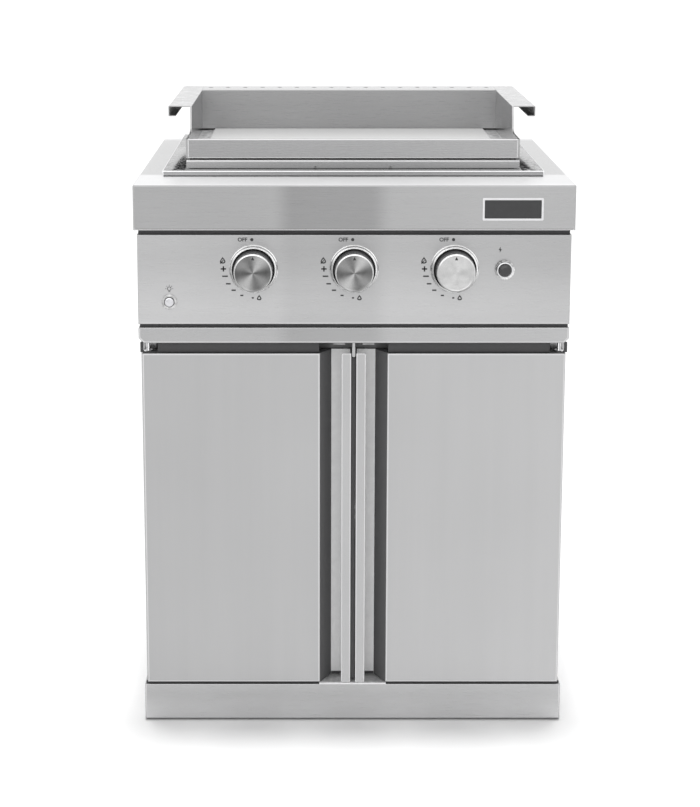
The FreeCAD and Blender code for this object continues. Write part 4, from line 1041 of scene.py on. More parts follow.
def drop(width: float, height: float, steps: int = 28, swell: float = 1.3,
         point: float = 1.5) -> list[Point]:
    """The outline of a drop or flame with its point upwards.

    Args:
        width: About how wide it is.
        height: Its height.
        steps: How many points it has.
        swell: How much wider the curve is drawn, to make up for what its point takes away.
        point: How slender the point is.

    Returns:
        The (x, z) points.
    """
    turns = [FULL_TURN * step / steps for step in range(steps)]
    half = width / 2 * swell
    return [(half * math.sin(turn) * math.sin(turn / 2) ** point, height / 2 * math.cos(turn))
            for turn in turns]


def plate(outline: list[Point], place: tuple, height: float,
          hole: list[Point] | None = None) -> bmesh.types.BMesh:
    """A flat plate that stands out towards the front.

    Args:
        outline: Its (x, z) outline.
        place: Where the outline's origin lies, on the surface that carries it.
        height: How far it stands out.
        hole: The outline of a hole in it, with as many points.

    Returns:
        The closed shape.
    """
    shape = bmesh.new()
    loops = []
    for points in ([outline, hole] if hole else [outline]):
        verts = [shape.verts.new((x, 0.0, z)) for x, z in points]
        loops.append([shape.edges.new(pair) for pair in zip(verts, verts[1:] + verts[:1])])
    if hole:
        bmesh.ops.bridge_loops(shape, edges=loops[0] + loops[1])
    else:
        bmesh.ops.contextual_create(shape, geom=loops[0])
    lifted = bmesh.ops.extrude_face_region(shape, geom=shape.faces[:])["geom"]
    front = [part for part in lifted if isinstance(part, bmesh.types.BMVert)]
    bmesh.ops.translate(shape, verts=front, vec=(0, -height, 0))
    bmesh.ops.recalc_face_normals(shape, faces=shape.faces)
    bmesh.ops.translate(shape, verts=shape.verts, vec=place)
    return shape


def bar(start: Point, end: Point, width: float) -> list[Point]:
    """The outline of a straight stroke between two points.

    Args:
        start: The stroke's first end.
        end: Its second end.
        width: Its width.

    Returns:
        The corners.
    """
    start, end = Vector(start), Vector(end)
    along = (end - start).normalized() * (width / 2)
    over = Vector((-along.y, along.x))
    return [tuple(corner) for corner in (start - over, end - over, end + over, start + over)]


def lettering(text: str, size: float, place: tuple, height: float, weight: float) -> bmesh.types.BMesh:
    """Letters that stand out towards the front.

    Args:
        text: The letters.
        size: The font's size.
        place: The middle of the text, on the surface that carries it.
        height: How far the letters stand out.
        weight: How much broader each stroke is than the font's, on each side.

    Returns:
        The shape.
    """
    curve = bpy.data.curves.new("lettering", "FONT")
    curve.body, curve.size, curve.extrude, curve.offset = text, size, height / 2, weight
    curve.align_x, curve.align_y, curve.resolution_u = "CENTER", "CENTER", 4
    shape = shaped(bpy.data.meshes.new_from_object(bpy.data.objects.new("lettering", curve)))
    bpy.data.curves.remove(curve)
    bmesh.ops.remove_doubles(shape, verts=shape.verts, dist=MERGE_GAP)
    middle_of_text = Matrix.Translation((place[0], place[1] - height / 2, place[2]))
    upright = middle_of_text @ Matrix.Rotation(math.pi / 2, 4, "X")
    bmesh.ops.transform(shape, matrix=upright, verts=shape.verts)
    return shape


@dataclass
class Assembly:
    """What every sub-assembly works with: the bench, and the finishes to choose from."""

    bench: Bench
    finishes: Finishes


@dataclass
class Counter(Assembly):
    """The counter's strips, whose tops are painted lighter than their front apron, as lit and shaded copies
    of one steel.
    """

    front_bend: float = 2.2 * MM

    def build(self) -> None:
        """Finish the four strips."""
        f = self.finishes
        # The tops take the lighter steel: painted light on the same sheet as the darker apron.
        top = (f.deck, is_top)
        self.bench.soften("deck_front", f.fascia, top, trim=f.apron_trim, bend_width=self.front_bend)
        self.bench.soften("deck_back", f.deck_side, top, trim=Trim(f.edge))
        for side in SIDES:
            self.bench.soften(f"deck_{side}", f.deck_side, trim=Trim(f.edge))


@dataclass
class Cabinet(Assembly):
    """The carcass sheets, the dark strips that paint the shade in the gaps between them, and the small parts
    round the doors.
    """

    panel_bend: float = 0.8 * MM
    gap_shade_depth: Point = (5 * MM, 11 * MM)
    gap_shade_half: float = 343 * MM
    door_clearance: float = 1 * MM
    pin_room: float = 28 * MM
    corner_clearance: float = 0.6 * MM
    recess_half: float = 55.5 * MM
    deep_half: float = 75 * MM
    deep_gap_shade: Point = (-265.4 * MM, -264.2 * MM)
    tab: Point = (14 * MM, 33 * MM)
    tab_depth: Point = (-300 * MM, -298.4 * MM)
    tab_height: Point = (-3.4 * MM, 0.0)
    sill: Point = (-300.7 * MM, -266 * MM)
    lip: Point = (-302.4 * MM, -300.8 * MM)
    lip_height: Point = (0.0, 1.8 * MM)

    def __post_init__(self) -> None:
        """Read the places of the gaps over and under the doors from the frame."""
        door_low, door_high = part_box("door_skin_left")
        self.rail_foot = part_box("front_rail")[0].z
        self.plinth_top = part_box("plinth")[1].z
        self.over = (door_high.z + self.door_clearance, self.rail_foot)
        self.under = (self.plinth_top, door_low.z - self.door_clearance)

    def build(self) -> None:
        """Finish the sheets, and fit the strips of painted shade and the parts round the doors."""
        f = self.finishes
        for node in ("side_panel_left", "side_panel_right", "back_panel"):
            self.bench.soften(node, f.side)
        self.bench.soften("bottom_shelf", f.front)
        self.bench.soften("catch_tongue", f.grip)
        self.bench.soften("door_magnets", f.dark)
        self.bench.soften("plinth", f.plinth, trim=f.plinth_trim)
        self.bench.soften("front_rail", f.front, trim=f.rail_trim)
        self.bench.soften("control_panel", f.panel, trim=f.panel_trim, bend_width=self.panel_bend)
        self.make_gap_shades()
        self.make_tabs()
        self.make_sill()

    def make_gap_shades(self) -> None:
        """The dark strips that paint the shade above and below the panel, over the doors and under them."""
        panel_low, panel_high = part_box("control_panel")
        heights = {"panel_top_gap_shade": (panel_high.z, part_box("deck_front")[0].z),
                   "panel_bottom_gap_shade": (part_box("front_rail")[1].z, panel_low.z)}
        near = steps_from(panel_low.y, self.gap_shade_depth)
        gap_shades = {name: ((-self.gap_shade_half, self.gap_shade_half), near, height) for name, height in heights.items()}
        beside_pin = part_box("hinge_pins")[1].x + self.corner_clearance
        # Strips of painted shade beside, over and under the doors.
        for name, ends, height in (("foot", (self.recess_half, self.gap_shade_half), self.under),
                                   ("corner", (beside_pin, self.gap_shade_half), self.over),
                                   ("top", (self.recess_half, self.gap_shade_half - self.pin_room), self.over)):
            for side, span in on_both_sides(*ends).items():
                gap_shades[f"door_{name}_seal_{side}"] = (span, near, height)
        for name, spans in gap_shades.items():
            self.bench.strip(name, spans, "cabinet", "foot_rubber", self.finishes.gap_shade)
        # A lighter strip deeper in, which paints the shade behind the gap over the doors' middle.
        spans = ((-self.deep_half, self.deep_half), self.deep_gap_shade, self.over)
        self.bench.strip("door_top_gap_shade_middle", spans, "cabinet", "foot_rubber", self.finishes.deep_gap_shade)

    def make_tabs(self) -> None:
        """The two small tabs under the rail, in the wing's painted shade."""
        height = steps_from(self.rail_foot, self.tab_height)
        for side, span in on_both_sides(*self.tab).items():
            self.bench.strip(f"rail_tab_{side}", (span, self.tab_depth, height), "cabinet", "stainless_sheet",
                             self.finishes.wing)

    def make_sill(self) -> None:
        """The sill at the foot of the grips' recess, and its lip, painted as a bright highlight line."""
        f = self.finishes
        wide = (-self.recess_half, self.recess_half)
        lip_height = steps_from(self.plinth_top, self.lip_height)
        for name, depth, height, finish in (("recess_sill", self.sill, self.under, f.sill),
                                            ("recess_sill_lip", self.lip, lip_height, f.bright_painted_edge)):
            self.bench.strip(name, (wide, depth, height), "cabinet", "stainless_sheet", finish)


@dataclass
class Doors(Assembly):
    """The two doors: brushed pans, bright grips, recess walls painted dark as shade, and the strip between
    them that paints the shade in the gap.
    """

    bend: float = 0.7 * MM
    top_room: float = 0.2 * MM
    bend_room: float = 2 * MM
    recess_mouth: float = 53.4 * MM
    recess_depth: float = 5 * MM
    wall_slope: Point = (0.3, SQUARE)
    strip_ends: Point = (-3.6 * MM, 3.0 * MM)
    strip_depth: Point = (9 * MM, 14 * MM)
    strip_margin: float = 2 * MM
    foot_inset: float = 0.3 * MM
    foot_height: float = 5 * MM
    foot_depth: Point = (-0.5 * MM, 0.2 * MM)
    foot_rounding: float = 0.2 * MM

    def __post_init__(self) -> None:
        """Read the doors' place from the frame."""
        self.low, self.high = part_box("door_skin_left")

    def build(self) -> None:
        """Finish both doors and fit the strips."""
        f = self.finishes
        # Recess walls and door tops take painted shade; the recess floors a pale finish.
        rules = ((f.recess, self.is_shaded), (f.recess_floor, self.is_floor))
        for side in SIDES:
            for node, finish in ((f"door_skin_{side}", f.door), (f"door_handle_{side}", f.grip)):
                self.bench.soften(node, finish, *rules, trim=f.door_trim, bend_width=self.bend)
            self.bench.soften(f"door_liner_{side}", f.side)
            self.bench.soften(f"strike_plate_{side}", f.zinc)
            self.bench.dress(f"hinge_bushes_{side}", f.brass)
            self.make_floor_foot(side)
        self.bench.dress("hinge_pins", f.chrome)
        self.make_strip()

    def is_shaded(self, face: bmesh.types.BMFace) -> bool:
        """Whether a face is a recess wall or the top of a door behind its bend, where painted shade goes.

        Args:
            face: The face.

        Returns:
            Whether it is.
        """
        place, slope = middle(face), abs(face.normal.x)
        is_wall = abs(place.x) < self.recess_mouth and self.wall_slope[0] < slope < self.wall_slope[1]
        is_behind = place.y > self.low.y + self.bend_room
        return is_wall or (is_behind and face.normal.z > NEARLY_SQUARE
                           and place.z > self.high.z - self.top_room)

    def is_deep(self, normal: Vector, place: Vector) -> bool:
        """Whether a face with this normal and middle looks forward from behind the door's face."""
        return normal.y < -SQUARE and place.y > self.low.y + self.recess_depth

    def is_floor(self, face: bmesh.types.BMFace) -> bool:
        """Whether a face is the floor of the recess beside a grip."""
        return abs(middle(face).x) < self.recess_mouth and self.is_deep(face.normal, middle(face))

    def make_floor_foot(self, side: str) -> None:
        """The dark strip across the foot of a recess's floor, which paints the shade there.

        Args:
            side: The door's side.
        """
        mesh = self.bench.mesh_of(f"door_handle_{side}")
        floor = max((face for face in mesh.polygons if self.is_deep(face.normal, face.center)),
                    key=lambda face: face.area)
        places = [mesh.vertices[index].co for index in floor.vertices]
        across = sorted(place.x for place in places)
        foot = min(place.z for place in places) + self.foot_inset
        spans = ((across[0] + self.foot_inset, across[-1] - self.foot_inset),
                 steps_from(floor.center.y, self.foot_depth), (foot, foot + self.foot_height))
        self.bench.strip(f"recess_foot_{side}", spans, f"{side}_door", "foot_rubber", self.finishes.gap_shade,
                         self.foot_rounding)

    def make_strip(self) -> None:
        """The dark strip on the left door's edge, short of the catch tongue, which paints the shade in the
        gap between the doors.
        """
        low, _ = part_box("door_handle_left")
        height = (low.z + self.strip_margin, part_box("catch_tongue")[0].z - self.strip_margin)
        spans = (self.strip_ends, steps_from(low.y, self.strip_depth), height)
        self.bench.strip("meeting_strip", spans, "left_door", "foot_rubber", self.finishes.recess)


@dataclass
class Griddle(Assembly):
    """The cooking plate with its gutters, the guards, the burner box and the grease tray."""

    raised_half: float = 248.2 * MM
    plate_room: float = 4 * MM
    top_room: float = 0.3 * MM
    hole_slope: float = 0.9 * MM
    slope_normal: float = 0.8
    slope_breadth: float = 0.75 * MM
    slope_perimeter: float = 30 * MM
    wing_gap: float = 2 * MM
    wing_normal: float = 0.5
    bead_radius: float = 1.1 * MM
    bead_steps: int = 16
    bead_share: float = 0.5
    liner_inset: float = 3 * MM
    liner_depth: Point = (-42 * MM, -14 * MM)
    liner_height: Point = (-2.9 * MM, -1.5 * MM)
    stop_depth: Point = (0.4 * MM, 1.6 * MM)
    stop_height: Point = (-2.5 * MM, 4 * MM)
    ledge_inset: float = 2 * MM
    gap_shade_depth: Point = (-1.5 * MM, -0.1 * MM)
    gap_shade_height: Point = (0.0, 1.5 * MM)
    skin_height: Point = (-0.9 * MM, -0.1 * MM)
    skin_rounding: float = 0.1 * MM
    strip_rounding: float = 0.2 * MM
    bead_depth: Point = (0.0, 2.6 * MM)
    bead_height: Point = (-0.4 * MM, 1.3 * MM)
    bead_rounding: float = 0.5 * MM

    def __post_init__(self) -> None:
        """Read the plate's, the back guard's and the tray's places from the frame."""
        _, self.plate_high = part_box("griddle_plate")
        self.back_low, self.back_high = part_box("guard_back")
        self.tray_low, self.tray_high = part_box("grease_tray")

    def build(self) -> None:
        """Finish the griddle's sheets and fit the welds, the liners that paint shade, the ledges and the
        tray's bead with its painted highlight.
        """
        f = self.finishes
        self.bench.soften("griddle_plate", f.plate, (f.gutter, self.is_gutter))
        self.bench.soften("griddle_tub", f.bar, trim=f.ledge_trim)
        self.bench.soften("grease_tray", f.bar, trim=Trim(f.edge))
        self.bench.soften("guard_front", f.guard, trim=f.lip_trim)
        # The flange's top takes lighter steel than the splash wall, painted light, and the holes' sloped rims
        # are printed black as painted shade.
        self.bench.soften("guard_back", f.splash, (f.flange, self.is_flange), (f.print, self.is_hole_slope),
                          sink=self.hole_slope)
        for side in SIDES:
            # The wings' tops take painted mottled reflections, and their insides painted shade.
            self.bench.soften(f"guard_{side}", f.guard_side, (f.painted_reflection, self.is_wing_top),
                              (f.wing, self.is_wing_inside))
        self.make_welds()
        self.make_liners()
        self.make_ledges()
        # The tray's bead takes lighter steel, a painted highlight along its top.
        spans = ((self.tray_low.x, self.tray_high.x), steps_from(self.tray_low.y, self.bead_depth),
                 steps_from(self.tray_high.z, self.bead_height))
        self.bench.strip("tray_bead", spans, "grease_drawer", "stainless_guard", f.edge, self.bead_rounding)

    def is_gutter(self, face: bmesh.types.BMFace) -> bool:
        """Whether a face of the plate belongs to a gutter."""
        place = middle(face)
        return abs(place.x) > self.raised_half and place.z > self.plate_high.z - self.plate_room

    def is_raised(self, face: bmesh.types.BMFace) -> bool:
        """Whether a face lies clear above the plate."""
        return middle(face).z > self.plate_high.z + self.plate_room

    def is_at_top(self, face: bmesh.types.BMFace) -> bool:
        """Whether a face lies at the guards' upper edge."""
        return middle(face).z > self.back_high.z - self.top_room

    def is_flange(self, face: bmesh.types.BMFace) -> bool:
        """Whether a face is the top of the back guard's flange."""
        return self.is_at_top(face) and face.normal.z > NEARLY_SQUARE

    def is_hole_slope(self, face: bmesh.types.BMFace) -> bool:
        """Whether a face is on the sloped rim of a hole."""
        return (self.is_raised(face) and face.normal.z < self.slope_normal
                and breadth(face) < self.slope_breadth and face.calc_perimeter() < self.slope_perimeter)

    def is_wing_top(self, face: bmesh.types.BMFace) -> bool:
        """Whether a face is the top of a side guard's wing."""
        return self.is_at_top(face) and is_top(face)

    def is_wing_inside(self, face: bmesh.types.BMFace) -> bool:
        """Whether a face is on the shaded side of a wing.

        Args:
            face: The face.

        Returns:
            Whether it is.
        """
        across, normal = middle(face).x, face.normal
        looks_in = normal.x * across < 0 and abs(normal.x) > self.wing_normal
        return (self.is_raised(face) and abs(across) > self.plate_high.x + self.wing_gap
                and (normal.z < -self.wing_normal or looks_in))

    def make_welds(self) -> None:
        """A bead down each front corner of the guards."""
        low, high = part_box("guard_front")
        radius = self.bead_radius
        for side, x in zip(SIDES, (low.x, high.x)):
            shape = bmesh.new()
            bmesh.ops.create_cone(shape, cap_ends=True, segments=self.bead_steps, radius1=radius,
                                  radius2=radius, depth=high.z - low.z - 2 * radius)
            round_off(shape, [edge for edge in shape.edges if is_crisp(edge)], self.bead_share * radius)
            bmesh.ops.translate(shape, verts=shape.verts, vec=(x, low.y + radius, (low.z + high.z) / 2))
            self.bench.piece(shape, f"corner_weld_{side}", "griddle_top", "stainless_guard",
                             self.finishes.weld)

    def make_liners(self) -> None:
        """A dark strip under the flange's holes, and one behind each gutter's end, which paint the shade seen
        through them.
        """
        half = self.plate_high.x - self.liner_inset
        strips = {"flange_liner": ((-half, half), steps_from(self.back_high.y, self.liner_depth),
                                   steps_from(self.back_high.z, self.liner_height))}
        behind = steps_from(self.plate_high.y, self.stop_depth)
        height = steps_from(self.back_low.z, self.stop_height)
        for side, span in on_both_sides(self.raised_half, self.plate_high.x).items():
            strips[f"gutter_stop_{side}"] = (span, behind, height)
        for name, spans in strips.items():
            self.bench.strip(name, spans, "griddle_top", "foot_rubber", self.finishes.gap_shade,
                             self.strip_rounding)

    def make_ledges(self) -> None:
        """A dark strip that paints the contact shadow at the foot of the burner box's ledge, and a skin of
        painted mottled reflections on each of its sides.
        """
        f = self.finishes
        body = self.bench.body_of("griddle_tub")
        low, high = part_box("griddle_tub")
        deck_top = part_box("deck_front")[1].z
        above_deck = deck_top + self.gap_shade_height[1]
        front = min(vert.co.y for vert in self.bench.mesh_of("griddle_tub").vertices
                    if vert.co.z > above_deck)
        foot = ((low.x + self.ledge_inset, high.x - self.ledge_inset), steps_from(front, self.gap_shade_depth),
                steps_from(deck_top, self.gap_shade_height))
        self.bench.strip("ledge_foot_gap_shade", foot, body, "foot_rubber", f.gap_shade, self.strip_rounding)
        depth = (front + self.ledge_inset, high.y - self.ledge_inset)
        height = steps_from(self.tray_low.z, self.skin_height)
        ends = on_both_sides(self.tray_high.x + self.ledge_inset, high.x - self.ledge_inset)
        for side, span in ends.items():
            self.bench.strip(f"ledge_skin_{side}", (span, depth, height), body, "stainless_guard", f.ledge,
                             self.skin_rounding)


@dataclass
class GasTrain(Assembly):
    """The manifold, valves, stems, burners and their sparks, behind the panel and under the plate."""

    def build(self) -> None:
        """Dress the nodes that keep their shape."""
        f = self.finishes
        for side in KNOB_FACES:
            for part in ("gas_valve", "valve_stem", "push_collar"):
                self.bench.dress(f"{part}_{side}", f.brass)
            self.bench.dress(f"burner_{side}", f.burner)
        self.bench.dress("gas_manifold", f.burner)
        self.bench.dress("gas_inlet", f.brass)
        self.bench.dress("spark_electrodes", f.glaze)


@dataclass
class Fixings(Assembly):
    """The screws on the back and the feet under the cabinet."""

    rows: int = 5
    head_radius: float = 5.4 * MM
    head_edge: float = 1 * MM
    head_round: float = 0.8 * MM
    crown_share: float = 0.7
    cross_length: float = 5.6 * MM
    cross_width: float = 1.2 * MM
    cross_depth: float = 1.1 * MM
    tool_room: float = 1 * MM
    pad_height: float = 14 * MM

    def build(self) -> None:
        """Make the screw heads and finish the feet."""
        f = self.finishes
        stem = (f.zinc, lambda face: middle(face).z > self.pad_height)
        self.bench.soften("levelling_feet", f.rubber, stem)
        low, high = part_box("back_screws")
        columns = (low.x + self.head_radius, high.x - self.head_radius)
        first, last = low.z + self.head_radius, high.z - self.head_radius
        rows = [first + (last - first) * row / (self.rows - 1) for row in range(self.rows)]
        heads = [self.head(Vector((x, low.y, z)), high.y) for x in columns for z in rows]
        self.bench.stand_for("back_screws", joined(heads), f.zinc)

    def head(self, place: Vector, top: float) -> bmesh.types.BMesh:
        """A pan head with a crossed slot.

        Args:
            place: The middle of its seat.
            top: The Y of its crown.

        Returns:
            The shape.
        """
        radius = self.head_radius
        profile = rounded([(0, place.y, 0), (radius, place.y, 0),
                           (radius, place.y + self.head_edge, self.head_round),
                           (self.crown_share * radius, top, self.head_round), (0, top, 0)], steps=3)
        half, arm = self.cross_length / 2, self.cross_width / 2
        outline = [(arm, half), (arm, arm), (half, arm)]
        for _ in range(3):
            outline += [(z, -x) for x, z in outline[-3:]]
        tool = plate(outline, (place.x, top + self.tool_room, place.z), self.cross_depth + self.tool_room)
        return carved(turned(profile, place, steps=28), tool)


@dataclass
class Knob(Assembly):
    """One gas knob with its chromed ring and its pointer."""

    side: str
    tone: float
    painted_wedge: float
    rim_inset: float = 1.0 * MM
    rim_round: float = 2.2 * MM
    rim_tone: float = 0.52
    rim_lobes: tuple = ((1, 80.0),)
    ring_tone: float = 0.74
    ring_lobes: tuple = ((1, 40.0), (3, 20.0))
    chrome_painted_wedge: float = 0.45
    chrome_roughness: float = 0.2
    bright_band: float = 5 * MM
    skirt_start: float = 4 * MM
    skirt_line: Point = (12 * MM, 13 * MM)
    face_dish: float = 0.5 * MM
    face_depth: float = 4.6 * MM
    pointer_base: float = 21.0 * MM
    pointer_size: float = 5.4 * MM
    pointer_depth: float = 0.7 * MM
    pointer_height: float = 0.6 * MM
    hub_radius: float = 9 * MM
    bore_radius: float = 4.2 * MM
    ring_bore: float = 8 * MM
    ring_floor: float = 1.5 * MM
    well_inset: float = 5.4 * MM

    def __post_init__(self) -> None:
        """Read the knob's and the ring's places from the frame."""
        self.low, self.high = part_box(f"knob_{self.side}")
        self.ring_low, self.ring_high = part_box(f"knob_bezel_{self.side}")
        self.centre = (self.ring_low + self.ring_high) / 2

    def build(self) -> None:
        """Make the knob, the pointer and the ring."""
        self.make_knob()
        self.make_pointer()
        self.make_ring()

    def make_knob(self) -> None:
        """The cup: a turned face, a rim with a painted highlight, a skirt painted dark for the dark that it
        reflects, and a hollow back.
        """
        front, back, radius = self.low.y, self.high.y, (self.high.x - self.low.x) / 2
        rim = radius - self.rim_inset
        floor = front + self.face_depth
        face = [(0, front + self.face_dish, 0), (rim - 4 * MM, front + 0.4 * MM, 1.5 * MM),
                (rim - self.rim_round, front, 0.3 * MM),
                (rim - 0.2 * MM, front + 0.35 * self.rim_round, 0.6 * MM),
                (rim, front + 2 * self.rim_round, 0.5 * MM)]
        skirt = [(rim, front + self.bright_band, 0), (rim, front + self.skirt_line[0], 0),
                 (rim + 0.3 * MM, front + self.skirt_line[1], 0), (radius, back - 5 * MM, 2 * MM),
                 (radius, back, 0.6 * MM)]
        hollow = [(radius - 2.5 * MM, back, 0.6 * MM), (rim - 3.2 * MM, front + 4.5 * MM, 0.8 * MM),
                  (self.hub_radius, front + 4 * MM, 0.8 * MM), (self.hub_radius, back, 0.4 * MM),
                  (self.bore_radius, back, 0.2 * MM), (self.bore_radius, floor, 0)]
        profile = [*rounded(face + skirt + hollow, steps=4), (0, floor)]
        in_face = within(self.centre, rim - self.rim_round + 0.3 * MM)
        in_hollow = within(self.centre, rim - 1 * MM)

        def on_skirt(part: bmesh.types.BMFace) -> bool:
            """Whether a face is behind the knob's face."""
            return middle(part).y > front + self.skirt_start

        def on_rim(part: bmesh.types.BMFace) -> bool:
            """Whether a face is on the bright band behind the knob's face."""
            return middle(part).y < front + self.bright_band and not in_face(part)

        def on_line(part: bmesh.types.BMFace) -> bool:
            """Whether a face is on the step round the skirt."""
            depth = middle(part).y - front
            return self.skirt_line[0] < depth < self.skirt_line[1] and not in_hollow(part)

        finish = TurnedMetal(f"knob_turned_{self.side}", self.tone, tuple(self.centre), self.painted_wedge).make()
        # The skirt is painted dark for the dark that it reflects, the rim takes a painted highlight and the
        # step a painted shade line.
        self.bench.stand_for(f"knob_{self.side}", turned(profile, self.centre), finish,
                             (self.finishes.skirt, on_skirt),
                             (self.chrome("rim", self.rim_tone, self.rim_lobes), on_rim),
                             (self.finishes.dim_painted_edge, on_line))

    def chrome(self, part: str, tone: float, lobes: tuple) -> bpy.types.Material:
        """The turned chrome of a part, centred on the knob.

        Args:
            part: The part.
            tone: Its tone.
            lobes: The number and direction of its painted light wedges.

        Returns:
            The material.
        """
        return TurnedMetal(f"{part}_turned_{self.side}", tone, tuple(self.centre), self.chrome_painted_wedge, lobes,
                           self.chrome_roughness).make()

    def make_pointer(self) -> None:
        """The black triangle near the top of the face, its point upwards."""
        half, base = self.pointer_size / 2, self.pointer_base
        outline = [(-half, base), (half, base), (0, base + self.pointer_size)]
        place = (self.centre.x, self.low.y + self.pointer_depth, self.centre.z)
        self.bench.piece(plate(outline, place, self.pointer_height), f"knob_{self.side}_pointer",
                         f"knob_turn_{self.side}", "badge_black", self.finishes.print)

    def make_ring(self) -> None:
        """The chromed ring: a foot, a stepped shoulder, a lip and a well round the knob painted dark as
        shade.
        """
        base, top = self.ring_high.y, self.ring_low.y
        radius = (self.ring_high.x - self.ring_low.x) / 2
        bore, floor, well = self.ring_bore, base - self.ring_floor, radius - self.well_inset
        foot = [(bore, base, 0), (radius, base, 0), (radius, base - 2.2 * MM, 0.6 * MM)]
        shoulder = [(radius - 1.2 * MM, base - 3.2 * MM, 0.6 * MM),
                    (radius - 1.6 * MM, top + 3.4 * MM, 1.6 * MM),
                    (radius - 2.9 * MM, top + 0.8 * MM, 0.8 * MM)]
        lip = [(radius - 3.5 * MM, top + 1.3 * MM, 0.3 * MM), (radius - 4.0 * MM, top, 0.5 * MM),
               (radius - 5.0 * MM, top, 0.4 * MM), (well, top + 1.2 * MM, 0.4 * MM)]
        inside = [(well, floor, 0), (bore, floor, 0), (bore, base, 0)]
        shape = turned(rounded(foot + shoulder + lip + inside), self.centre)
        finish = self.chrome("ring", self.ring_tone, self.ring_lobes)
        self.bench.stand_for(f"knob_bezel_{self.side}", shape, finish,
                             (self.finishes.well, within(self.centre, well + 0.2 * MM)))


@dataclass
class Dial(Assembly):
    """The markings printed round one knob, from off to full and back to low."""

    side: str
    height: float = 0.12 * MM
    stroke: float = 2.3 * MM
    word_place: Point = (-17.4 * MM, 47.0 * MM)
    word_size: float = 8.6 * MM
    word_weight: float = 0.25 * MM
    dot_place: Point = (-2.4 * MM, 47.2 * MM)
    dot_radius: float = 2.6 * MM
    dash_radius: float = 47.0 * MM
    dash_angles: tuple = (194.6, 210.8, 227.2, 246.1, 268.1)
    dash_lengths: tuple = (9.0 * MM, 7.4 * MM, 6.8 * MM, 5.0 * MM, 3.4 * MM)
    plus_place: Point = (-48.0 * MM, 0.0)
    plus_length: float = 8.6 * MM
    big_flame_place: Point = (-49.0 * MM, 14.0 * MM)
    big_flame: Point = (9.6 * MM, 11.0 * MM)
    small_flame_place: Point = (8.7 * MM, -46.4 * MM)
    small_flame: Point = (8.0 * MM, 9.0 * MM)
    flame_line: float = 0.95
    inner_inset: Point = (2.0, 2.4)
    inner_drop: float = 0.25
    spark_ends: tuple[Point, Point] = ((-0.42, -0.5), (0.1, 0.0))
    spark_line: float = 0.7

    def __post_init__(self) -> None:
        """Read from the frame where the ring's middle meets the panel."""
        low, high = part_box(f"knob_bezel_{self.side}")
        self.origin = Vector(((low.x + high.x) / 2, high.y, (low.z + high.z) / 2))

    def build(self) -> None:
        """Print the markings."""
        shapes = [lettering("OFF", self.word_size, self.at(self.word_place), self.height, self.word_weight),
                  plate(ring_of_points(self.dot_radius, steps=24), self.at(self.dot_place), self.height)]
        for angle, length in zip(self.dash_angles, self.dash_lengths):
            turn = math.radians(angle)
            place = (self.dash_radius * math.cos(turn), self.dash_radius * math.sin(turn))
            shapes.append(self.stroke_at(place, length, 0.0))
        shapes += [self.stroke_at(self.plus_place, self.plus_length, turn) for turn in (0.0, math.pi / 2)]
        shapes += self.flame(self.big_flame_place, self.big_flame, sparked=True)
        shapes += self.flame(self.small_flame_place, self.small_flame, sparked=False)
        self.bench.piece(joined(shapes), f"dial_{self.side}", "cabinet", "badge_black", self.finishes.print)

    def at(self, place: Point) -> tuple:
        """A place on the panel, from one beside the knob's centre."""
        return (self.origin.x + place[0], self.origin.y, self.origin.z + place[1])

    def stroke_at(self, place: Point, length: float, turn: float) -> bmesh.types.BMesh:
        """A straight stroke of a length, turned about its middle."""
        half = Vector((math.cos(turn), math.sin(turn))) * (length / 2)
        return plate(bar(-half, half, self.stroke), self.at(place), self.height)

    def flame(self, place: Point, size: Point, sparked: bool) -> list[bmesh.types.BMesh]:
        """A flame drawn as a thick line, with or without a spark in it.

        Args:
            place: Its middle, beside the knob's centre.
            size: Its width and height.
            sparked: Whether it has a spark.

        Returns:
            The shapes.
        """
        width, height = size
        line = self.stroke * self.flame_line
        inner_width, inner_height = (full - inset * line for full, inset in zip(size, self.inner_inset))
        inner = [(x, z - self.inner_drop * line) for x, z in drop(inner_width, inner_height)]
        shapes = [plate(drop(width, height), self.at(place), self.height, inner)]
        if sparked:
            ends = [(x * width, z * height) for x, z in self.spark_ends]
            shapes.append(plate(bar(*ends, self.spark_line * line), self.at(place), self.height))
        return shapes


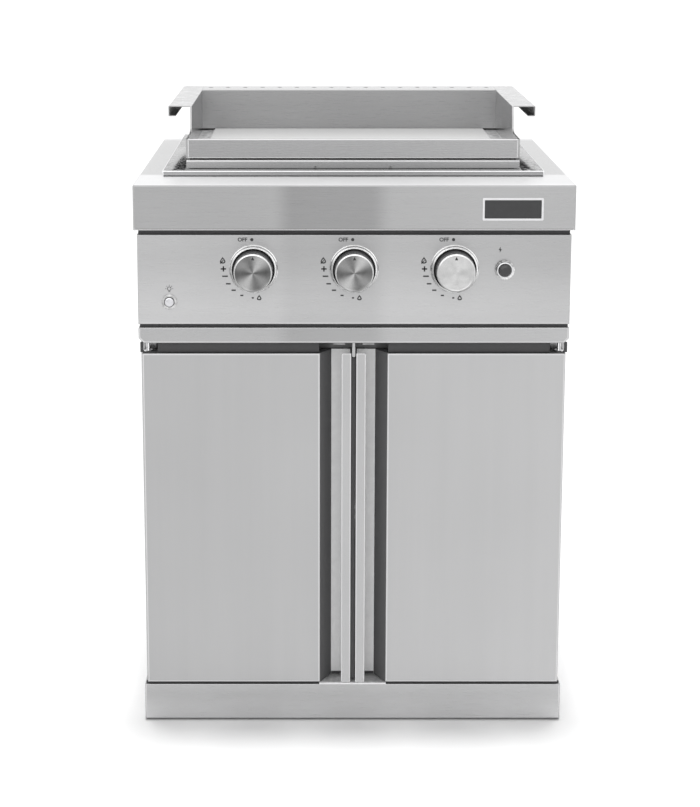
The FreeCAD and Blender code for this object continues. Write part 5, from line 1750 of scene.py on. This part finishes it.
@dataclass
class Ignitor(Assembly):
    """The ignitor: a fluted nut, a bright collar and a domed black button."""

    barrel_radius: float = 11.8 * MM
    nut_radius: float = 16 * MM
    nut_height: float = 4 * MM
    nut_steps: int = 192
    nut_ease: float = 0.5 * MM
    flute: float = 0.9 * MM
    flutes: int = 24
    collar_radius: float = 13 * MM
    collar_height: float = 9 * MM
    bore_radius: float = 10.3 * MM
    seat_depth: float = 3 * MM
    fit: float = 0.05 * MM

    def __post_init__(self) -> None:
        """Read the housing's place from the frame."""
        self.low, self.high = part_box("ignitor_housing")
        self.centre = (self.low + self.high) / 2

    def build(self) -> None:
        """Make the housing and the button."""
        self.make_housing()
        self.make_button()

    def make_housing(self) -> None:
        """The barrel with its collar, and the fluted nut round it."""
        centre, face = self.centre, self.low.y + self.collar_height
        seat = face - self.seat_depth
        barrel = rounded([(0, self.high.y, 0), (self.barrel_radius, self.high.y, 1 * MM),
                          (self.barrel_radius, face, 0), (self.collar_radius, face, 0),
                          (self.collar_radius, self.low.y, 1.4 * MM),
                          (self.bore_radius, self.low.y, 1.0 * MM), (self.bore_radius, seat, 0),
                          (0, seat, 0)])
        nut = plate(ring_of_points(self.nut_radius, self.nut_steps, self.flute, self.flutes),
                    (centre.x, face, centre.z), self.nut_height,
                    ring_of_points(self.collar_radius - self.fit, self.nut_steps))
        front = face - self.nut_height + MERGE_GAP
        crown = [edge for edge in nut.edges
                 if is_crisp(edge) and min(vert.co.y for vert in edge.verts) < front]
        round_off(nut, crown, self.nut_ease)
        # The nut's wedges and strong blotches are painted reflections round its flutes.
        nickel = TurnedMetal("nut_turned", 0.52, tuple(centre), 0.6, ((1, -40.0),), 0.25, blotch=0.4,
                             blotch_size=4 * MM).make()
        in_collar = within(centre, self.collar_radius)
        # The bore's well is painted dark as shade.
        self.bench.stand_for("ignitor_housing", joined([turned(barrel, centre), nut]), self.finishes.satin,
                             (nickel, lambda part: not in_collar(part)),
                             (self.finishes.well, within(centre, self.bore_radius - self.fit)))

    def make_button(self) -> None:
        """The domed button."""
        low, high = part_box("ignitor_button")
        radius = (high.x - low.x) / 2
        dome = rounded([(0, high.y, 0), (radius, high.y, 0.4 * MM), (radius, low.y + 3.4 * MM, 0.4 * MM),
                        (radius - 0.8 * MM, low.y + 1.0 * MM, 1.6 * MM),
                        (0.5 * radius, low.y + 0.1 * MM, 2 * MM), (0, low.y, 0)])
        self.bench.stand_for("ignitor_button", turned(dome, self.centre, steps=64), self.finishes.button)


@dataclass
class LightSwitch(Assembly):
    """The light's push switch: a chromed collar with notches round a bright button."""

    barrel_radius: float = 9.5 * MM
    collar_height: float = 3 * MM
    bore_radius: float = 8.1 * MM
    button_edge: float = 0.6 * MM
    notches: int = 4
    notch_width: float = 2.2 * MM
    notch_reach: Point = (-1.3 * MM, 2 * MM)
    notch_depth: Point = (-1 * MM, 1.3 * MM)
    steps: int = 64
    fit: float = 0.05 * MM

    def __post_init__(self) -> None:
        """Read the housing's place from the frame."""
        self.low, self.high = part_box("light_switch_housing")
        self.centre = (self.low + self.high) / 2

    def build(self) -> None:
        """Make the housing and the button."""
        self.make_housing()
        self.make_button()

    def make_housing(self) -> None:
        """The barrel and its notched collar."""
        centre, low, high = self.centre, self.low, self.high
        radius, face = (high.x - low.x) / 2, low.y + self.collar_height
        seat = face + 0.6 * MM
        profile = rounded([(0, high.y, 0), (self.barrel_radius, high.y, 0.8 * MM),
                           (self.barrel_radius, face, 0), (radius, face, 0),
                           (radius, low.y + 1 * MM, 0.5 * MM), (radius - 1.2 * MM, low.y, 0.8 * MM),
                           (self.bore_radius, low.y, 0.4 * MM), (self.bore_radius, seat, 0), (0, seat, 0)])
        housing = turned(profile, centre, self.steps)
        half = self.notch_width / 2
        for index in range(self.notches):
            turn = Matrix.Rotation(math.pi / 4 + FULL_TURN * index / self.notches, 4, "Y")
            tool = block((steps_from(radius, self.notch_reach), steps_from(low.y, self.notch_depth),
                          (-half, half)))
            place = Matrix.Translation((centre.x, 0.0, centre.z)) @ turn
            bmesh.ops.transform(tool, matrix=place, verts=tool.verts)
            housing = carved(housing, tool)
        # The collar's wedges and blotches are painted reflections.
        collar = TurnedMetal("collar_turned", 0.5, tuple(centre), 0.3, ((1, -30.0), (5, 20.0)), 0.25,
                             blotch=0.15, blotch_size=4 * MM).make()
        # The well round the button is painted dark as shade.
        well = (self.finishes.well, within(centre, self.bore_radius - self.fit))
        self.bench.stand_for("light_switch_housing", housing, collar, well)

    def make_button(self) -> None:
        """The flat button with its edge painted dark as shade."""
        low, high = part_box("light_switch_button")
        radius = (high.x - low.x) / 2
        dome = rounded([(0, high.y, 0), (radius, high.y, 0.4 * MM), (radius, low.y + 0.8 * MM, 0.7 * MM),
                        (0.75 * radius, low.y, 0.8 * MM), (0, low.y, 0)])
        in_face = within(self.centre, radius - self.button_edge)
        self.bench.stand_for("light_switch_button", turned(dome, self.centre, self.steps),
                             self.finishes.zinc, (self.finishes.well, lambda part: not in_face(part)))


@dataclass
class Markings(Assembly):
    """The bare badge on the apron, and a plain sign beside the ignitor and the light switch."""

    height: float = 0.12 * MM
    line: float = 1.0 * MM
    spark_place: Point = (232 * MM, 796 * MM)
    spark: tuple[Point, ...] = ((0.6, 5.0), (-2.6, -0.6), (-0.5, -0.6), (-0.9, -5.0), (2.6, 0.8), (0.5, 0.8))
    bulb_place: Point = (-294.6 * MM, 733 * MM)
    bulb_radius: float = 3.4 * MM
    base_half: float = 1.6 * MM
    base_drop: float = 1.4
    rays: int = 5
    ray: Point = (1.2 * MM, 3.0 * MM)
    ray_line: float = 0.8

    def build(self) -> None:
        """Finish the badge and print the two signs."""
        f = self.finishes
        self.bench.soften("badge_frame", f.satin)
        self.bench.soften("badge_plate", f.badge)
        bolt = self.printed([(x * MM, z * MM) for x, z in self.spark], self.spark_place)
        self.bench.piece(bolt, "ignitor_sign", "cabinet", "badge_black", f.print)
        radius, foot = self.bulb_radius, -self.base_drop * self.bulb_radius
        base = bar((-self.base_half, foot), (self.base_half, foot), self.line)
        shapes = [self.printed(ring_of_points(radius, 32), self.bulb_place,
                               ring_of_points(radius - self.line, 32)),
                  self.printed(base, self.bulb_place)]
        for index in range(self.rays):
            turn = math.pi * index / (self.rays - 1)
            way = Vector((math.cos(turn), math.sin(turn)))
            near, far = steps_from(radius, self.ray)
            shapes.append(self.printed(bar(way * near, way * far, self.ray_line * self.line),
                                       self.bulb_place))
        self.bench.piece(joined(shapes), "light_sign", "cabinet", "badge_black", f.print)

    def printed(self, outline: list[Point], place: Point,
                hole: list[Point] | None = None) -> bmesh.types.BMesh:
        """A printed outline on the panel.

        Args:
            outline: The outline's points.
            place: The X and Z of their origin.
            hole: The outline of a hole in it.

        Returns:
            The shape.
        """
        return plate(outline, (place[0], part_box("control_panel")[0].y, place[1]), self.height, hole)


@dataclass
class Studio:
    """The plain floor, the soft light and the camera at the photograph's angle."""

    focal_length: float = 85.8
    sensor: float = 36.0
    shift: Point = (0.0397, -0.13)
    camera_place: tuple = (-0.0575, -3.3131, 1.3165)
    pitch: float = 0.1966
    floor_size: float = 60.0
    floor_tone: float = 0.9
    floor_glow: float = 0.05
    sky_level: float = 0.36
    zenith_level: float = 1.4
    zenith_start: float = 0.42

    def build(self) -> None:
        """Make the camera, the world, the lamps and the floor."""
        self.make_camera()
        self.make_world()
        self.make_floor()
        self.make_lamp("key", way=(0.0, 0.075, 1.0), strength=2.5, spread=10.6).visible_glossy = False
        self.make_lamp("fill", way=(-0.25, -1.0, 0.6), strength=0.5, spread=60.0)

    def make_camera(self) -> None:
        """A camera in front of the object, a little left of its middle, looking down on it."""
        data = bpy.data.cameras.new("camera")
        data.lens, data.sensor_width = self.focal_length, self.sensor
        data.shift_x, data.shift_y = self.shift
        camera = placed("camera", data)
        camera.location = self.camera_place
        camera.rotation_euler = (math.pi / 2 - self.pitch, 0.0, 0.0)
        bpy.context.scene.camera = camera

    def make_world(self) -> None:
        """White where it is seen, brighter overhead where it is mirrored, and soft for the rest."""
        world = bpy.data.worlds.new("studio")
        world.use_nodes = True
        bpy.context.scene.world = world
        nodes = Nodes(world.node_tree)
        path = nodes.add("ShaderNodeLightPath").outputs
        height = nodes.parts(nodes.add("ShaderNodeTexCoord").outputs["Generated"])["Z"]
        seen = nodes.maths("MAXIMUM", path["Is Camera Ray"], path["Is Transmission Ray"])
        level = nodes.add("ShaderNodeMix")
        nodes.link(path["Is Glossy Ray"], level.inputs["Factor"])
        plain = nodes.spread(seen, self.sky_level, 1.0, (0.0, 1.0))
        mirrored = nodes.spread(height, 1.0, self.zenith_level, (0.0, self.zenith_start))
        for index, value in zip(NUMBER_INPUTS, (plain, mirrored)):
            nodes.link(value, level.inputs[index])
        background = world.node_tree.nodes["Background"].inputs
        background["Color"].default_value = (*WHITE, 1.0)
        nodes.link(level.outputs["Result"], background["Strength"])

    def make_floor(self) -> None:
        """A pale floor that shows white except where the object shades it."""
        shape = bmesh.new()
        bmesh.ops.create_grid(shape, x_segments=1, y_segments=1, size=self.floor_size / 2)
        floor = placed("floor", meshed(shape, "floor"))
        shader = Shader("floor_white")
        path = shader.add("ShaderNodeLightPath").outputs
        seen = shader.maths("MAXIMUM", path["Is Camera Ray"], path["Is Glossy Ray"])
        seen = shader.maths("MAXIMUM", seen, path["Is Transmission Ray"])
        glow = shader.spread(seen, 0.0, self.floor_glow, (0.0, 1.0))
        shader.link(glow, shader.surface["Emission Strength"])
        shader.fix(Base_Color=(*(self.floor_tone,) * 3, 1.0), Roughness=1.0, Specular_IOR_Level=0.0,
                   Emission_Color=(*WHITE, 1.0))
        floor.data.materials.append(shader.material)

    def make_lamp(self, name: str, way: tuple, strength: float, spread: float) -> bpy.types.Object:
        """A soft distant lamp.

        Args:
            name: The lamp's name.
            way: The direction that its light comes from.
            strength: Its light on a surface that faces it.
            spread: How wide it looks, in degrees.

        Returns:
            The lamp.
        """
        data = bpy.data.lights.new(name, "SUN")
        data.energy, data.angle = strength, math.radians(spread)
        lamp = placed(name, data)
        lamp.rotation_euler = Vector(way).to_track_quat("Z", "Y").to_euler()
        return lamp


def main() -> None:
    """Load the frame, dress it piece by piece and light it."""
    logging.basicConfig(level=logging.INFO, format="%(name)s: %(message)s")
    bpy.ops.wm.read_factory_settings(use_empty=True)
    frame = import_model()
    bpy.context.scene.view_settings.view_transform = "Standard"
    bench, finishes = Bench(frame), Finishes()
    for assembly in (Counter, Cabinet, Doors, Griddle, GasTrain, Fixings, Ignitor, LightSwitch, Markings):
        assembly(bench, finishes).build()
    for side, (tone, painted_wedge) in KNOB_FACES.items():
        Knob(bench, finishes, side, tone, painted_wedge).build()
        Dial(bench, finishes, side).build()
    Studio().build()


if __name__ == "__main__":
    main()
